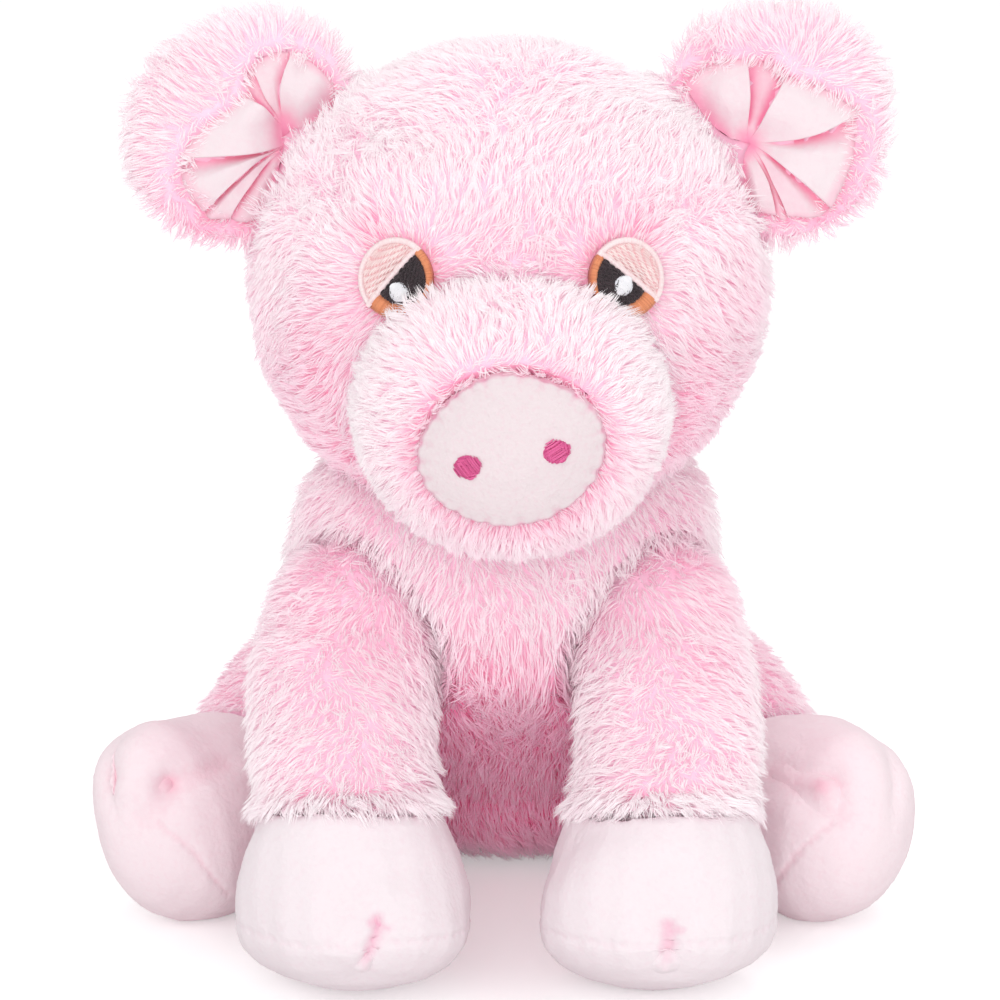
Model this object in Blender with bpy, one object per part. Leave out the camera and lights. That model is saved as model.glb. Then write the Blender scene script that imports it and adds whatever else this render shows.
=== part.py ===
"""A sitting stuffed pig: fur skins, velboa paws, pleated ears, embroidered eyes and the stuffing inside.

Metres, +Z up. The toy faces -Y and its own left side is at +X. The origin is the middle of the
flat seat under the rump. Every soft form is a loft through a few oval rows, closed by domes.
"""

import math

import bmesh
import bpy
from mathutils import Matrix, Vector

# Cloth, stuffing and clearances
FUR_WALL = 0.0065
VELBOA_WALL = 0.0022
SEAM_GAP = 0.0003
FLOOR_CUT = 0.0005
OVERRUN = 0.020
CORE_LAP = 0.003
STITCH_THICKNESS = 0.0009

# Body
SEAT_HEIGHT = 0.0275
SEAT_HALF_WIDTH = 0.056
SEAT_HALF_DEPTH = 0.048
BELLY_HALF_WIDTH = 0.058
BELLY_HALF_DEPTH = 0.056
NECK_HEIGHT = 0.098
NECK_REACH = 0.047
NECK_RADIUS = 0.055
NECK_OPENING_RADIUS = 0.034

# Head and muzzle
HEAD_HEIGHT = 0.1745
HEAD_REACH = 0.058
HEAD_HALF_WIDTH = 0.0685
HEAD_HALF_DEPTH = 0.064
HEAD_HALF_HEIGHT = 0.065
MUZZLE_HEIGHT = 0.1555
MUZZLE_HALF_WIDTH = 0.0407
MUZZLE_HALF_HEIGHT = 0.037
MUZZLE_FRONT = 0.151
MUZZLE_CROWN = 0.028
MUZZLE_ROOT = 0.085
SNOUT_HEIGHT = 0.1535
SNOUT_HALF_WIDTH = 0.0242
SNOUT_HALF_HEIGHT = 0.0200
SNOUT_FRONT = 0.1535
SNOUT_CROWN = 0.0065
SNOUT_BACK = 0.1440
SNOUT_TILT = math.radians(10)
NOSTRIL_SPACING = 0.0225
NOSTRIL_DROP = 0.0010
NOSTRIL_HALF_WIDTH = 0.0034
NOSTRIL_HALF_HEIGHT = 0.0031

# Eyes
EYE_SPACING = 0.0595
EYE_HEIGHT = 0.1898
EYE_RADIUS = 0.0105
EYE_BORDER = 0.0014
PUPIL_RADIUS = 0.0070
HIGHLIGHT_RADIUS = 0.0027
HIGHLIGHT_DROP = 0.0034
LID_SLOPE_LEFT = math.radians(-36)
LID_SLOPE_RIGHT = math.radians(46)

# Ears
EAR_SEAM_LENGTH = 0.054
EAR_ROOT_RADIUS = 0.0100
EAR_HALF_WIDTH = 0.0318
EAR_LENGTH = 0.048
EAR_HALF_THICKNESS = 0.0095
EAR_SEAT_DEPTH = 0.0055
EAR_LEAN = math.radians(59)
EAR_SET_BACK = math.radians(15)
LINING_REACH = 0.0080
LINING_RADIUS = 0.0255
LINING_SPREAD = math.radians(145)
LINING_PLEATS = 3
PLEAT_DEPTH = 0.0018
LINING_THICKNESS = 0.0020
DISH_DEPTH = 0.0055

# Forelegs
SHOULDER_SPACING = 0.078
SHOULDER_REACH = 0.075
SHOULDER_HEIGHT = 0.086
SHOULDER_RADIUS = 0.024
FORELEG_HALF_WIDTH = 0.0240
FORELEG_HALF_DEPTH = 0.0245
FORELEG_BOW = 0.0030
HEM_SPACING = 0.082
HEM_REACH = 0.112
HEM_HEIGHT = 0.046
HEM_TILT = math.radians(17)
FOREPAW_SPACING = 0.079
FOREPAW_REACH = 0.121
FOREPAW_HEIGHT = 0.018
FOREPAW_HALF_WIDTH = 0.0312
FOREPAW_HALF_LENGTH = 0.0300
FOREPAW_CLEFT = 0.0040
FOREPAW_CLEFT_DROP = 0.024
CLEFT_HALF_LENGTH = 0.009
CLEFT_HALF_ANGLE = math.radians(13)
FORELEG_SWING = 25

# Hind legs
HIP_SPACING = 0.096
HIP_REACH = 0.013
HIP_HEIGHT = 0.035
HIP_RADIUS = 0.0355
HIP_FACE_SPACING = 0.060
HINDLEG_SPLAY = math.radians(37)
ANKLE_DISTANCE = 0.039
ANKLE_RADIUS = 0.0255
HINDFOOT_LENGTH = 0.050
HINDFOOT_ROLL = math.radians(25)
HINDFOOT_HALF_WIDTH = 0.0228
HINDFOOT_HALF_HEIGHT = 0.0275
HINDFOOT_CLEFT = 0.0040
HINDFOOT_CLEFT_REACH = 0.043
HINDLEG_LIFT = 25

# Tail
TAIL_HEIGHT = 0.048
TAIL_REACH = 0.0395
TAIL_ROOT_RADIUS = 0.0058
TAIL_RADIUS = 0.0040
TAIL_TIP_RADIUS = 0.0026
TAIL_KNOT_RADIUS = 0.0030
TAIL_STEM = 0.0100
TAIL_CURL_RADIUS = 0.0088
TAIL_CURL_PITCH = 0.0125
TAIL_TURNS = 1.25

# Facets
SKIN_SEGMENTS = 20
INNER_SEGMENTS = 12
NECK_SEGMENTS = 28
TRAVEL_STEPS = 3
EYE_SEGMENTS = 10
DOME_RINGS = 5
MID_RINGS = 2
BALL_RINGS = 3
TAIL_SIDES = 8
TAIL_STEPS_A_TURN = 10

FUR_PINK = (0.93, 0.66, 0.78)
MUZZLE_PINK = (0.94, 0.72, 0.81)
VELBOA_WHITE = (0.94, 0.87, 0.89)
LINING_PINK = (0.92, 0.73, 0.80)
FOOT_PINK = (0.90, 0.78, 0.82)
STUFFING_WHITE = (0.93, 0.93, 0.92)
LID_PEACH = (0.88, 0.68, 0.67)
BORDER_ROSE = (0.84, 0.58, 0.60)
IRIS_ORANGE = (0.78, 0.36, 0.20)
PUPIL_BLACK = (0.06, 0.04, 0.05)
THREAD_WHITE = (0.95, 0.95, 0.95)
NOSTRIL_MAGENTA = (0.83, 0.20, 0.42)

SIDES = (("left", 1), ("right", -1))
X_AXIS = Vector((1, 0, 0))
Y_AXIS = Vector((0, 1, 0))
Z_AXIS = Vector((0, 0, 1))


def clear_scene():
    for obj in list(bpy.data.objects):
        bpy.data.objects.remove(obj, do_unlink=True)


def material(name, color, roughness=0.9):
    made = bpy.data.materials.new(name)
    made.use_nodes = True
    shader = made.node_tree.nodes["Principled BSDF"]
    shader.inputs["Base Color"].default_value = (*color, 1)
    shader.inputs["Roughness"].default_value = roughness
    shader.inputs["Metallic"].default_value = 0
    made.diffuse_color = (*color, 1)
    return made


# Mesh making


def frame(origin, up, along):
    """A right-handed frame: columns are across, up and along."""
    along = along.normalized()
    up = (up - along * up.dot(along)).normalized()
    across = up.cross(along)
    made = Matrix((across, up, along)).transposed().to_4x4()
    made.translation = origin
    return made


def new_object(name, points, faces, look=None, pivot=None, parent=None):
    """An object from world points, its origin at the pivot, its faces turned outwards."""
    origin = pivot or Vector()
    mesh = bpy.data.meshes.new(name)
    mesh.from_pydata([point - origin for point in points], [], faces)
    turned = bmesh.new()
    turned.from_mesh(mesh)
    bmesh.ops.recalc_face_normals(turned, faces=turned.faces)
    if turned.calc_volume(signed=True) < 0:
        bmesh.ops.reverse_faces(turned, faces=turned.faces)
    turned.to_mesh(mesh)
    turned.free()
    mesh.shade_smooth()
    mesh.set_sharp_from_angle(angle=math.radians(50))
    made = bpy.data.objects.new(name, mesh)
    bpy.context.scene.collection.objects.link(made)
    if look:
        mesh.materials.append(look)
    if parent:
        made.parent = parent
        made.location = origin - parent.location
    else:
        made.location = origin
    return made


def joint_empty(name, pivot):
    made = bpy.data.objects.new(name, None)
    made.location = pivot
    bpy.context.scene.collection.objects.link(made)
    return made


def as_cutter(obj):
    obj.hide_render = True
    obj.display_type = "WIRE"
    return obj


def boolean(obj, other, operation="DIFFERENCE"):
    modifier = obj.modifiers.new(f"{operation.lower()} {other.name}", "BOOLEAN")
    modifier.solver = "EXACT"
    modifier.operation = operation
    modifier.object = other


def row_at(rows, place):
    """The row at a place along the form, on a smooth curve through the given rows."""
    if place <= rows[0][0]:
        return rows[0][1:]
    if place >= rows[-1][0]:
        return rows[-1][1:]
    index = max(i for i, row in enumerate(rows[:-1]) if row[0] <= place)
    low, high = rows[index], rows[index + 1]
    before = rows[max(index - 1, 0)]
    after = rows[min(index + 2, len(rows) - 1)]
    span = high[0] - low[0]
    t = (place - low[0]) / span
    values = []
    for column in range(1, len(low)):
        start = (high[column] - before[column]) / (high[0] - before[0])
        end = (after[column] - low[column]) / (after[0] - low[0])
        values.append(
            (2 * t**3 - 3 * t**2 + 1) * low[column]
            + (t**3 - 2 * t**2 + t) * span * start
            + (3 * t**2 - 2 * t**3) * high[column]
            + (t**3 - t**2) * span * end
        )
    return values


def loft(rows, low_dome, high_dome, grow=0, segments=SKIN_SEGMENTS, reach=(0, 0), mids=MID_RINGS,
         domes=DOME_RINGS, cleft=None):
    """Local points and faces of a form.

    Each row is (place, across, up, half width, half depth). A dome of no length is a flat end,
    which reach lengthens. cleft is (depth, angle, place, spread) of a valley in the surface.
    """
    first, last = rows[0][0], rows[-1][0]
    stations = []
    if low_dome:
        for ring in range(domes + 1):
            angle = math.pi / 2 * ring / domes
            stations.append((first - (low_dome + grow) * math.cos(angle), math.sin(angle)))
    else:
        stations += [(place, 1) for place in sorted({first - reach[0], first})]
    for ring in range(1, mids + 1):
        stations.append((first + (last - first) * ring / (mids + 1), 1))
    if high_dome:
        for ring in range(domes + 1):
            angle = math.pi / 2 * ring / domes
            stations.append((last + (high_dome + grow) * math.sin(angle), math.cos(angle)))
    else:
        stations += [(place, 1) for place in sorted({last, last + reach[1]})]
    points, rings = [], []
    for place, share in stations:
        across, up, half_width, half_depth = row_at(rows, place)
        half_width, half_depth = half_width + grow, half_depth + grow
        if share < 1e-6:
            rings.append([len(points)])
            points.append(Vector((across, up, place)))
            continue
        rings.append(range(len(points), len(points) + segments))
        for step in range(segments):
            turn = 2 * math.pi * step / segments
            point = Vector((half_width * math.cos(turn), half_depth * math.sin(turn), 0)) * share
            if cleft:
                depth, centre, cleft_place, spread = cleft
                off = (turn - centre + math.pi) % (2 * math.pi) - math.pi
                valley = math.exp(-((off / CLEFT_HALF_ANGLE) ** 2) - ((place - cleft_place) / spread) ** 2)
                point -= point.normalized() * depth * valley
            points.append(point + Vector((across, up, place)))
    faces = []
    for low, high in zip(rings, rings[1:]):
        for step in range(segments):
            after = (step + 1) % segments
            if len(low) == 1:
                faces.append((low[0], high[after], high[step]))
            elif len(high) == 1:
                faces.append((low[step], low[after], high[0]))
            else:
                # Triangles, because a skin and its stuffing would otherwise bend their quads unlike
                faces.append((low[step], low[after], high[after]))
                faces.append((low[step], high[after], high[step]))
    if len(rings[0]) > 1:
        faces.append(tuple(reversed(rings[0])))
    if len(rings[-1]) > 1:
        faces.append(tuple(rings[-1]))
    return points, faces


def placed(points_faces, matrix):
    points, faces = points_faces
    return [matrix @ point for point in points], faces


def box_cutter(name, low, high):
    corners = [Vector((x, y, z)) for x in (low.x, high.x) for y in (low.y, high.y) for z in (low.z, high.z)]
    faces = [(0, 1, 3, 2), (4, 6, 7, 5), (0, 4, 5, 1), (2, 3, 7, 6), (0, 2, 6, 4), (1, 5, 7, 3)]
    return as_cutter(new_object(name, corners, faces))


def turning_clearance(radius, segments=SKIN_SEGMENTS, rings=DOME_RINGS):
    """The seam gap, and what the flats of a faceted socket take from it as a ball turns in it."""
    flats = math.cos(math.pi / segments) * math.cos(math.pi / 4 / rings)
    return SEAM_GAP + (radius + SEAM_GAP) * (1 / flats - 1)


def ball_cutter(name, centre, radius, grow=0, segments=SKIN_SEGMENTS, rings=DOME_RINGS):
    rows = [(0, 0, 0, radius, radius)]
    form = loft(rows, radius, radius, grow, segments, mids=0, domes=rings)
    half_facet = Matrix.Rotation(math.pi / segments, 4, Z_AXIS)
    return as_cutter(new_object(name, *placed(form, Matrix.Translation(centre) @ half_facet)))


# The forms, each as rows and the lengths of its two domes


def side_point(side, spacing, reach, height):
    return Vector((side * spacing / 2, -reach, height))


BODY_FRAME = Matrix.Identity(4)
# Shares of the neck's height, the neck's reach, and the belly's half width and half depth
BODY_ROW_SHARES = ((0.50, 0.33, 1.00, 0.96), (0.70, 0.74, 0.98, 1.04), (0.86, 0.92, 0.94, 1.00))
BODY_ROWS = (
    [(SEAT_HEIGHT, 0, 0, SEAT_HALF_WIDTH, SEAT_HALF_DEPTH)]
    + [
        (
            height * NECK_HEIGHT,
            0,
            -reach * NECK_REACH,
            width * BELLY_HALF_WIDTH,
            depth * BELLY_HALF_DEPTH,
        )
        for height, reach, width, depth in BODY_ROW_SHARES
    ]
    + [(NECK_HEIGHT, 0, -NECK_REACH, NECK_RADIUS, NECK_RADIUS)]
)
BODY_DOMES = (SEAT_HEIGHT + FLOOR_CUT, NECK_RADIUS)

HEAD_CENTRE = Vector((0, -HEAD_REACH, HEAD_HEIGHT))
HEAD_FRAME = Matrix.Translation(HEAD_CENTRE)
HEAD_ROWS = [(0, 0, 0, HEAD_HALF_WIDTH, HEAD_HALF_DEPTH)]
HEAD_DOMES = (HEAD_HALF_HEIGHT, HEAD_HALF_HEIGHT)
NECK_CENTRE = Vector((0, -NECK_REACH, NECK_HEIGHT))

MUZZLE_FRAME = frame(Vector((0, 0, MUZZLE_HEIGHT)), Z_AXIS, -Y_AXIS)
# Shares of the way from the muzzle's root to its crown, and of its half width and half height
MUZZLE_ROW_SHARES = ((0.0, 0.97, 0.98), (0.55, 1.0, 1.0), (1.0, 0.97, 0.97))
MUZZLE_ROWS = [
    (
        MUZZLE_ROOT + along * (MUZZLE_FRONT - MUZZLE_CROWN - MUZZLE_ROOT),
        0,
        0,
        width * MUZZLE_HALF_WIDTH,
        height * MUZZLE_HALF_HEIGHT,
    )
    for along, width, height in MUZZLE_ROW_SHARES
]

def row_in(matrix, centre, half_width, half_depth):
    """A row of a form in a frame, around a point of the whole toy."""
    across, up, place = matrix.inverted() @ centre
    return (place, across, up, half_width, half_depth)


def foreleg_frame(side):
    """Along runs up the leg square to its hem, up faces back."""
    along = Vector((0, math.sin(HEM_TILT), math.cos(HEM_TILT)))
    return frame(side_point(side, HEM_SPACING, HEM_REACH, HEM_HEIGHT), Y_AXIS, along)


# Shares of the way from the hem up to the shoulder
FORELEG_ROW_SHARES = (0.0, 0.36, 0.70)


def foreleg_rows(side):
    matrix = foreleg_frame(side)
    shoulder = side_point(side, SHOULDER_SPACING, SHOULDER_REACH, SHOULDER_HEIGHT)
    rows = []
    for share in FORELEG_ROW_SHARES:
        bow = side * FORELEG_BOW * math.sin(math.pi * share)
        centre = matrix.translation.lerp(shoulder, share) + X_AXIS * bow
        rows.append(row_in(matrix, centre, FORELEG_HALF_WIDTH, FORELEG_HALF_DEPTH))
    return [*rows, row_in(matrix, shoulder, SHOULDER_RADIUS, SHOULDER_RADIUS)]


# Shares of the way from the paw's middle up to the hem, and of its half width and half length
FOREPAW_ROW_SHARES = ((0.0, 1.0, 1.0), (0.45, 0.97, 0.97), (1.0, 0.77, 0.79))


def forepaw_rows(side):
    matrix = foreleg_frame(side)
    middle = side_point(side, FOREPAW_SPACING, FOREPAW_REACH, FOREPAW_HEIGHT)
    rows = []
    for share, width, length in FOREPAW_ROW_SHARES:
        centre = middle.lerp(matrix.translation, share)
        rows.append(row_in(matrix, centre, width * FOREPAW_HALF_WIDTH, length * FOREPAW_HALF_LENGTH))
    return [*rows[:-1], (-SEAM_GAP, *rows[-1][1:])]


def forepaw_dome():
    """The length of the sole's dome that just reaches the floor from its leaning frame."""
    drop = (FOREPAW_HEIGHT + FLOOR_CUT) ** 2 - (FOREPAW_HALF_LENGTH * math.sin(HEM_TILT)) ** 2
    return math.sqrt(drop) / math.cos(HEM_TILT)


def hip_frame(side):
    along = Vector((side * math.sin(HINDLEG_SPLAY), -math.cos(HINDLEG_SPLAY), 0))
    return frame(side_point(side, HIP_SPACING, HIP_REACH, HIP_HEIGHT), Z_AXIS, along)


def hindfoot_frame(side):
    """The hip's frame rolled, so that the foot's upper edge leans outwards."""
    return hip_frame(side) @ Matrix.Rotation(-side * HINDFOOT_ROLL, 4, Z_AXIS)


def standing(place, half_width, half_height, roll=0):
    """A row of a leg in the hip's frame whose underside just reaches the floor."""
    drop = math.hypot(half_height * math.cos(roll), half_width * math.sin(roll))
    return (place, 0, drop - FLOOR_CUT - HIP_HEIGHT, half_width, half_height)


# Shares of the way to the ankle, and of the hip's radius in width and height
THIGH_ROW_SHARES = ((0.5, 0.87, 0.92),)
HINDLEG_ROWS = [
    (0, 0, 0, HIP_RADIUS, HIP_RADIUS),
    *(
        standing(ANKLE_DISTANCE * along, HIP_RADIUS * width, HIP_RADIUS * height)
        for along, width, height in THIGH_ROW_SHARES
    ),
    standing(ANKLE_DISTANCE, ANKLE_RADIUS, ANKLE_RADIUS),
]
# Shares of the foot's length, half width and half height
HINDFOOT_ROW_SHARES = ((0.25, 1.04, 1.00), (0.52, 1.00, 0.98))
HINDFOOT_DOME = HINDFOOT_LENGTH * (1 - HINDFOOT_ROW_SHARES[-1][0])


def hindfoot_rows(side):
    rows = [standing(ANKLE_DISTANCE + SEAM_GAP, ANKLE_RADIUS, ANKLE_RADIUS)]
    for along, width, height in HINDFOOT_ROW_SHARES:
        place = ANKLE_DISTANCE + HINDFOOT_LENGTH * along
        halves = (HINDFOOT_HALF_WIDTH * width, HINDFOOT_HALF_HEIGHT * height)
        rows.append(standing(place, *halves, HINDFOOT_ROLL))
    turn = Matrix.Rotation(side * HINDFOOT_ROLL, 4, Z_AXIS)
    rolled = []
    for place, across, up, half_width, half_height in rows:
        centre = turn @ Vector((across, up, place))
        rolled.append((centre.z, centre.x, centre.y, half_width, half_height))
    return rolled


def ear_frame(side):
    """Along points out of the head, up faces forward, across is the hinge."""
    outward = Vector(
        (
            side * math.sin(EAR_LEAN),
            math.cos(EAR_LEAN) * math.sin(EAR_SET_BACK),
            math.cos(EAR_LEAN) * math.cos(EAR_SET_BACK),
        )
    )
    forward = Vector((0, -math.cos(EAR_SET_BACK), math.sin(EAR_SET_BACK)))
    root = HEAD_CENTRE + outward * (head_radius_along(outward) - EAR_SEAT_DEPTH)
    return frame(root, forward, outward)


def head_radius_along(direction):
    halves = (HEAD_HALF_WIDTH, HEAD_HALF_DEPTH, HEAD_HALF_HEIGHT)
    return 1 / math.sqrt(sum((part / half) ** 2 for part, half in zip(direction, halves)))


# Shares of the ear's length, half width and half thickness
EAR_ROW_SHARES = ((0.0, 0.72, 0.50), (0.22, 0.96, 0.86), (0.48, 1.00, 1.00))
EAR_ROWS = [
    (along * EAR_LENGTH, 0, 0, width * EAR_HALF_WIDTH, thick * EAR_HALF_THICKNESS)
    for along, width, thick in EAR_ROW_SHARES
]
EAR_DOME = EAR_LENGTH * (1 - EAR_ROW_SHARES[-1][0])


# The pieces


def shell(name, rows, domes, wall, look, matrix, pivot=None, parent=None, reach=(0, 0), cleft=None,
          mids=MID_RINGS):
    """A hollow skin: the form with a smaller form taken out. Its cutters open it."""
    skin = new_object(
        name,
        *placed(loft(rows, *domes, 0, mids=mids, cleft=cleft), matrix),
        look,
        pivot,
        parent,
    )
    hollow = as_cutter(
        new_object(
            name + "_hollow",
            *placed(loft(rows, *domes, -wall, INNER_SEGMENTS, reach, mids, cleft=cleft), matrix),
        )
    )
    boolean(skin, hollow)
    return skin


def filling(name, rows, domes, wall, look, matrix, pivot=None, parent=None, reach=(0, 0)):
    """The stuffing inside a skin, a seam gap smaller than its hollow."""
    inset = -(wall + SEAM_GAP)
    form = placed(loft(rows, *domes, inset, INNER_SEGMENTS, reach), matrix)
    return new_object(name, *form, look, pivot, parent)


def travel_cutter(name, rows, domes, matrix, pivot, radius, travel):
    """The room of a limb's travel about the X axis: its turning ball and its form, as one convex cutter."""
    clearance = turning_clearance(radius)
    ball, _ = loft([(0, 0, 0, radius, radius)], radius, radius, clearance, mids=0)
    form, _ = placed(loft(rows, *domes, clearance), matrix)
    beyond = [point - pivot for point in form if (point - pivot).length > radius + 2 * clearance]
    hull = bmesh.new()
    for point in ball:
        hull.verts.new(pivot + point)
    for step in range(TRAVEL_STEPS + 1):
        turn = Matrix.Rotation(math.radians(travel * step / TRAVEL_STEPS), 4, X_AXIS)
        for point in beyond:
            hull.verts.new(pivot + turn @ point)
    found = bmesh.ops.convex_hull(hull, input=hull.verts)
    inside = {v for v in found["geom_interior"] + found["geom_unused"] if isinstance(v, bmesh.types.BMVert)}
    bmesh.ops.delete(hull, geom=list(inside), context="VERTS")
    hull.verts.ensure_lookup_table()
    corners = [vert.co.copy() for vert in hull.verts]
    hull.verts.index_update()
    faces = [tuple(vert.index for vert in face.verts) for face in hull.faces]
    hull.free()
    return as_cutter(new_object(name, corners, faces))


def floor_cutter():
    half = Vector((0.5, 0.5, 0)) * (HIP_SPACING + MUZZLE_FRONT) * 2
    return box_cutter("floor_cutter", -half - Z_AXIS * OVERRUN, half)


def neck_plug():
    """The stuffing that stands in the neck's opening, flush with the neck's ball."""
    radius = NECK_OPENING_RADIUS - SEAM_GAP
    edge = math.acos(radius / NECK_RADIUS)
    profile = [(radius, 0)]
    for ring in range(DOME_RINGS):
        angle = edge + (math.pi / 2 - edge) * ring / DOME_RINGS
        profile.append((NECK_RADIUS * math.cos(angle), NECK_RADIUS * math.sin(angle)))
    points, faces = [NECK_CENTRE + Z_AXIS * NECK_RADIUS], []
    for size, height in profile:
        for step in range(SKIN_SEGMENTS):
            turn = 2 * math.pi * (step + 0.5) / SKIN_SEGMENTS
            spot = Vector((size * math.cos(turn), size * math.sin(turn), height))
            points.append(NECK_CENTRE + spot)
    for step in range(SKIN_SEGMENTS):
        after = (step + 1) % SKIN_SEGMENTS
        for ring in range(len(profile) - 1):
            low = 1 + ring * SKIN_SEGMENTS
            high = low + SKIN_SEGMENTS
            faces.append((low + step, low + after, high + after, high + step))
        faces.append((high + step, high + after, 0))
    faces.append(tuple(1 + step for step in range(SKIN_SEGMENTS)))
    return as_cutter(new_object("neck_plug", points, faces))


def build_body(looks, floor, limb_cutters):
    skin = shell("body_skin", BODY_ROWS, BODY_DOMES, FUR_WALL, looks["fur"], BODY_FRAME)
    core = filling("body_stuffing", BODY_ROWS, BODY_DOMES, FUR_WALL, looks["stuffing"], BODY_FRAME)
    opening_rows = [
        (NECK_RADIUS / 2, 0, 0, NECK_OPENING_RADIUS, NECK_OPENING_RADIUS),
        (NECK_RADIUS + OVERRUN, 0, 0, NECK_OPENING_RADIUS, NECK_OPENING_RADIUS),
    ]
    half_facet = Matrix.Rotation(math.pi / SKIN_SEGMENTS, 4, Z_AXIS)
    opening_form = placed(loft(opening_rows, 0, 0, mids=0), Matrix.Translation(NECK_CENTRE) @ half_facet)
    opening = as_cutter(new_object("neck_opening", *opening_form))
    boolean(skin, opening)
    boolean(core, neck_plug(), "UNION")
    for cutter in [floor, *limb_cutters]:
        boolean(skin, cutter)
        boolean(core, cutter)


def build_head(looks, pivot, parent, ear_roots, pad_cutter):
    neck_rings = DOME_RINGS * 2
    neck_clearance = turning_clearance(NECK_RADIUS, NECK_SEGMENTS, neck_rings)
    neck = ball_cutter("neck_ball", NECK_CENTRE, NECK_RADIUS, neck_clearance, NECK_SEGMENTS, neck_rings)
    muzzle_reach = (HEAD_HALF_DEPTH / 2, 0)
    muzzle_domes = (0, MUZZLE_CROWN)
    skin = shell(
        "head_skin", HEAD_ROWS, HEAD_DOMES, FUR_WALL, looks["fur"], HEAD_FRAME, pivot, parent, mids=0
    )
    passage = as_cutter(
        new_object(
            "muzzle_passage",
            *placed(
                loft(MUZZLE_ROWS, *muzzle_domes, -FUR_WALL, INNER_SEGMENTS, muzzle_reach), MUZZLE_FRAME
            ),
        )
    )
    core = filling(
        "head_stuffing", HEAD_ROWS, HEAD_DOMES, FUR_WALL, looks["stuffing"], HEAD_FRAME, pivot, parent
    )
    muzzle_core = as_cutter(
        filling(
            "muzzle_core", MUZZLE_ROWS, muzzle_domes, FUR_WALL, None, MUZZLE_FRAME, None, None, muzzle_reach
        )
    )
    boolean(core, muzzle_core, "UNION")
    boolean(skin, passage)
    for cutter in [neck, *ear_roots]:
        boolean(skin, cutter)
        boolean(core, cutter)
    boolean(core, pad_cutter)
    muzzle = shell(
        "muzzle_skin",
        MUZZLE_ROWS,
        muzzle_domes,
        FUR_WALL,
        looks["muzzle"],
        MUZZLE_FRAME,
        pivot,
        parent,
        muzzle_reach,
    )
    head_outside = loft(HEAD_ROWS, *HEAD_DOMES, SEAM_GAP, mids=0)
    boolean(muzzle, as_cutter(new_object("head_outside", *placed(head_outside, HEAD_FRAME))))
    boolean(muzzle, pad_cutter)
    boolean(muzzle, neck)


SHIELD_NARROWING_SHARE = 0.20


def shield(turn):
    """The snout pad's outline as a unit shape: a rounded shield, narrower above."""
    across, up = math.cos(turn), math.sin(turn)
    narrowing = 1 - SHIELD_NARROWING_SHARE * max(up, 0) ** 2
    return across * narrowing, up


def snout_form(grow, back, front_lift, rings=3, segments=20):
    """A domed shield along the muzzle's axis, from a flat back to a crowned front."""
    points = []
    for ring in range(rings + 1):
        share = ring / rings
        for step in range(segments if ring else 1):
            across, up = shield(2 * math.pi * step / segments)
            front = SNOUT_FRONT - SNOUT_CROWN * share**2 + front_lift
            points.append(
                Vector(
                    (
                        across * share * (SNOUT_HALF_WIDTH + grow),
                        up * share * (SNOUT_HALF_HEIGHT + grow),
                        front,
                    )
                )
            )
    count = len(points)
    last = count - segments
    points += [Vector((point.x, point.y, back)) for point in points[last:]]
    faces = []
    for step in range(segments):
        after = (step + 1) % segments
        faces.append((0, 1 + step, 1 + after))
        for ring in range(1, rings):
            low = 1 + (ring - 1) * segments
            faces.append((low + step, low + segments + step, low + segments + after, low + after))
        faces.append((last + step, count + step, count + after, last + after))
    faces.append(tuple(count + segments - 1 - step for step in range(segments)))
    return points, faces


def snout_frame():
    tilt = Matrix.Rotation(-SNOUT_TILT, 4, Y_AXIS)
    return Matrix.Translation(Vector((0, 0, SNOUT_HEIGHT))) @ tilt @ frame(Vector(), Z_AXIS, -Y_AXIS)


def snout_front_at(across, up):
    shares = (across / SNOUT_HALF_WIDTH) ** 2 + (up / SNOUT_HALF_HEIGHT) ** 2
    return SNOUT_FRONT - SNOUT_CROWN * shares


def patch(name, loop, centre, surface, look, pivot, parent, rings=1):
    """A thin field of stitches over a surface: a fan from its centre to its outline."""
    levels = []
    for lift in (SEAM_GAP, SEAM_GAP + STITCH_THICKNESS):
        level = [surface(centre[0], centre[1], lift)]
        for ring in range(1, rings + 1):
            share = ring / rings
            for across, up in loop:
                level.append(
                    surface(
                        centre[0] + (across - centre[0]) * share,
                        centre[1] + (up - centre[1]) * share,
                        lift,
                    )
                )
        levels.append(level)
    count, size = len(levels[0]), len(loop)
    last = 1 + (rings - 1) * size
    faces = []
    for step in range(size):
        after = (step + 1) % size
        faces.append((0, 1 + after, 1 + step))
        faces.append((count, count + 1 + step, count + 1 + after))
        for ring in range(1, rings):
            low = 1 + (ring - 1) * size
            faces.append((low + step, low + after, low + size + after, low + size + step))
            high = count + low
            faces.append((high + after, high + step, high + size + step, high + size + after))
        faces.append((last + after, last + step, count + last + step, count + last + after))
    return new_object(name, levels[0] + levels[1], faces, look, pivot, parent)


def band(name, outer, inner, closed, surface, look, pivot, parent):
    """A thin band of stitches between two outlines of as many points."""
    loops = []
    for lift in (SEAM_GAP, SEAM_GAP + STITCH_THICKNESS):
        for loop in (outer, inner):
            loops.append([surface(across, up, lift) for across, up in loop])
    size = len(outer)
    points = [point for loop in loops for point in loop]
    order = (0, 2, 3, 1)
    faces = []
    for step in range(size if closed else size - 1):
        after = (step + 1) % size
        for a, b in zip(order, order[1:] + order[:1]):
            faces.append((a * size + step, b * size + step, b * size + after, a * size + after))
    if not closed:
        faces.append(tuple(loop * size for loop in reversed(order)))
        faces.append(tuple(loop * size + size - 1 for loop in order))
    return new_object(name, points, faces, look, pivot, parent)


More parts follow.
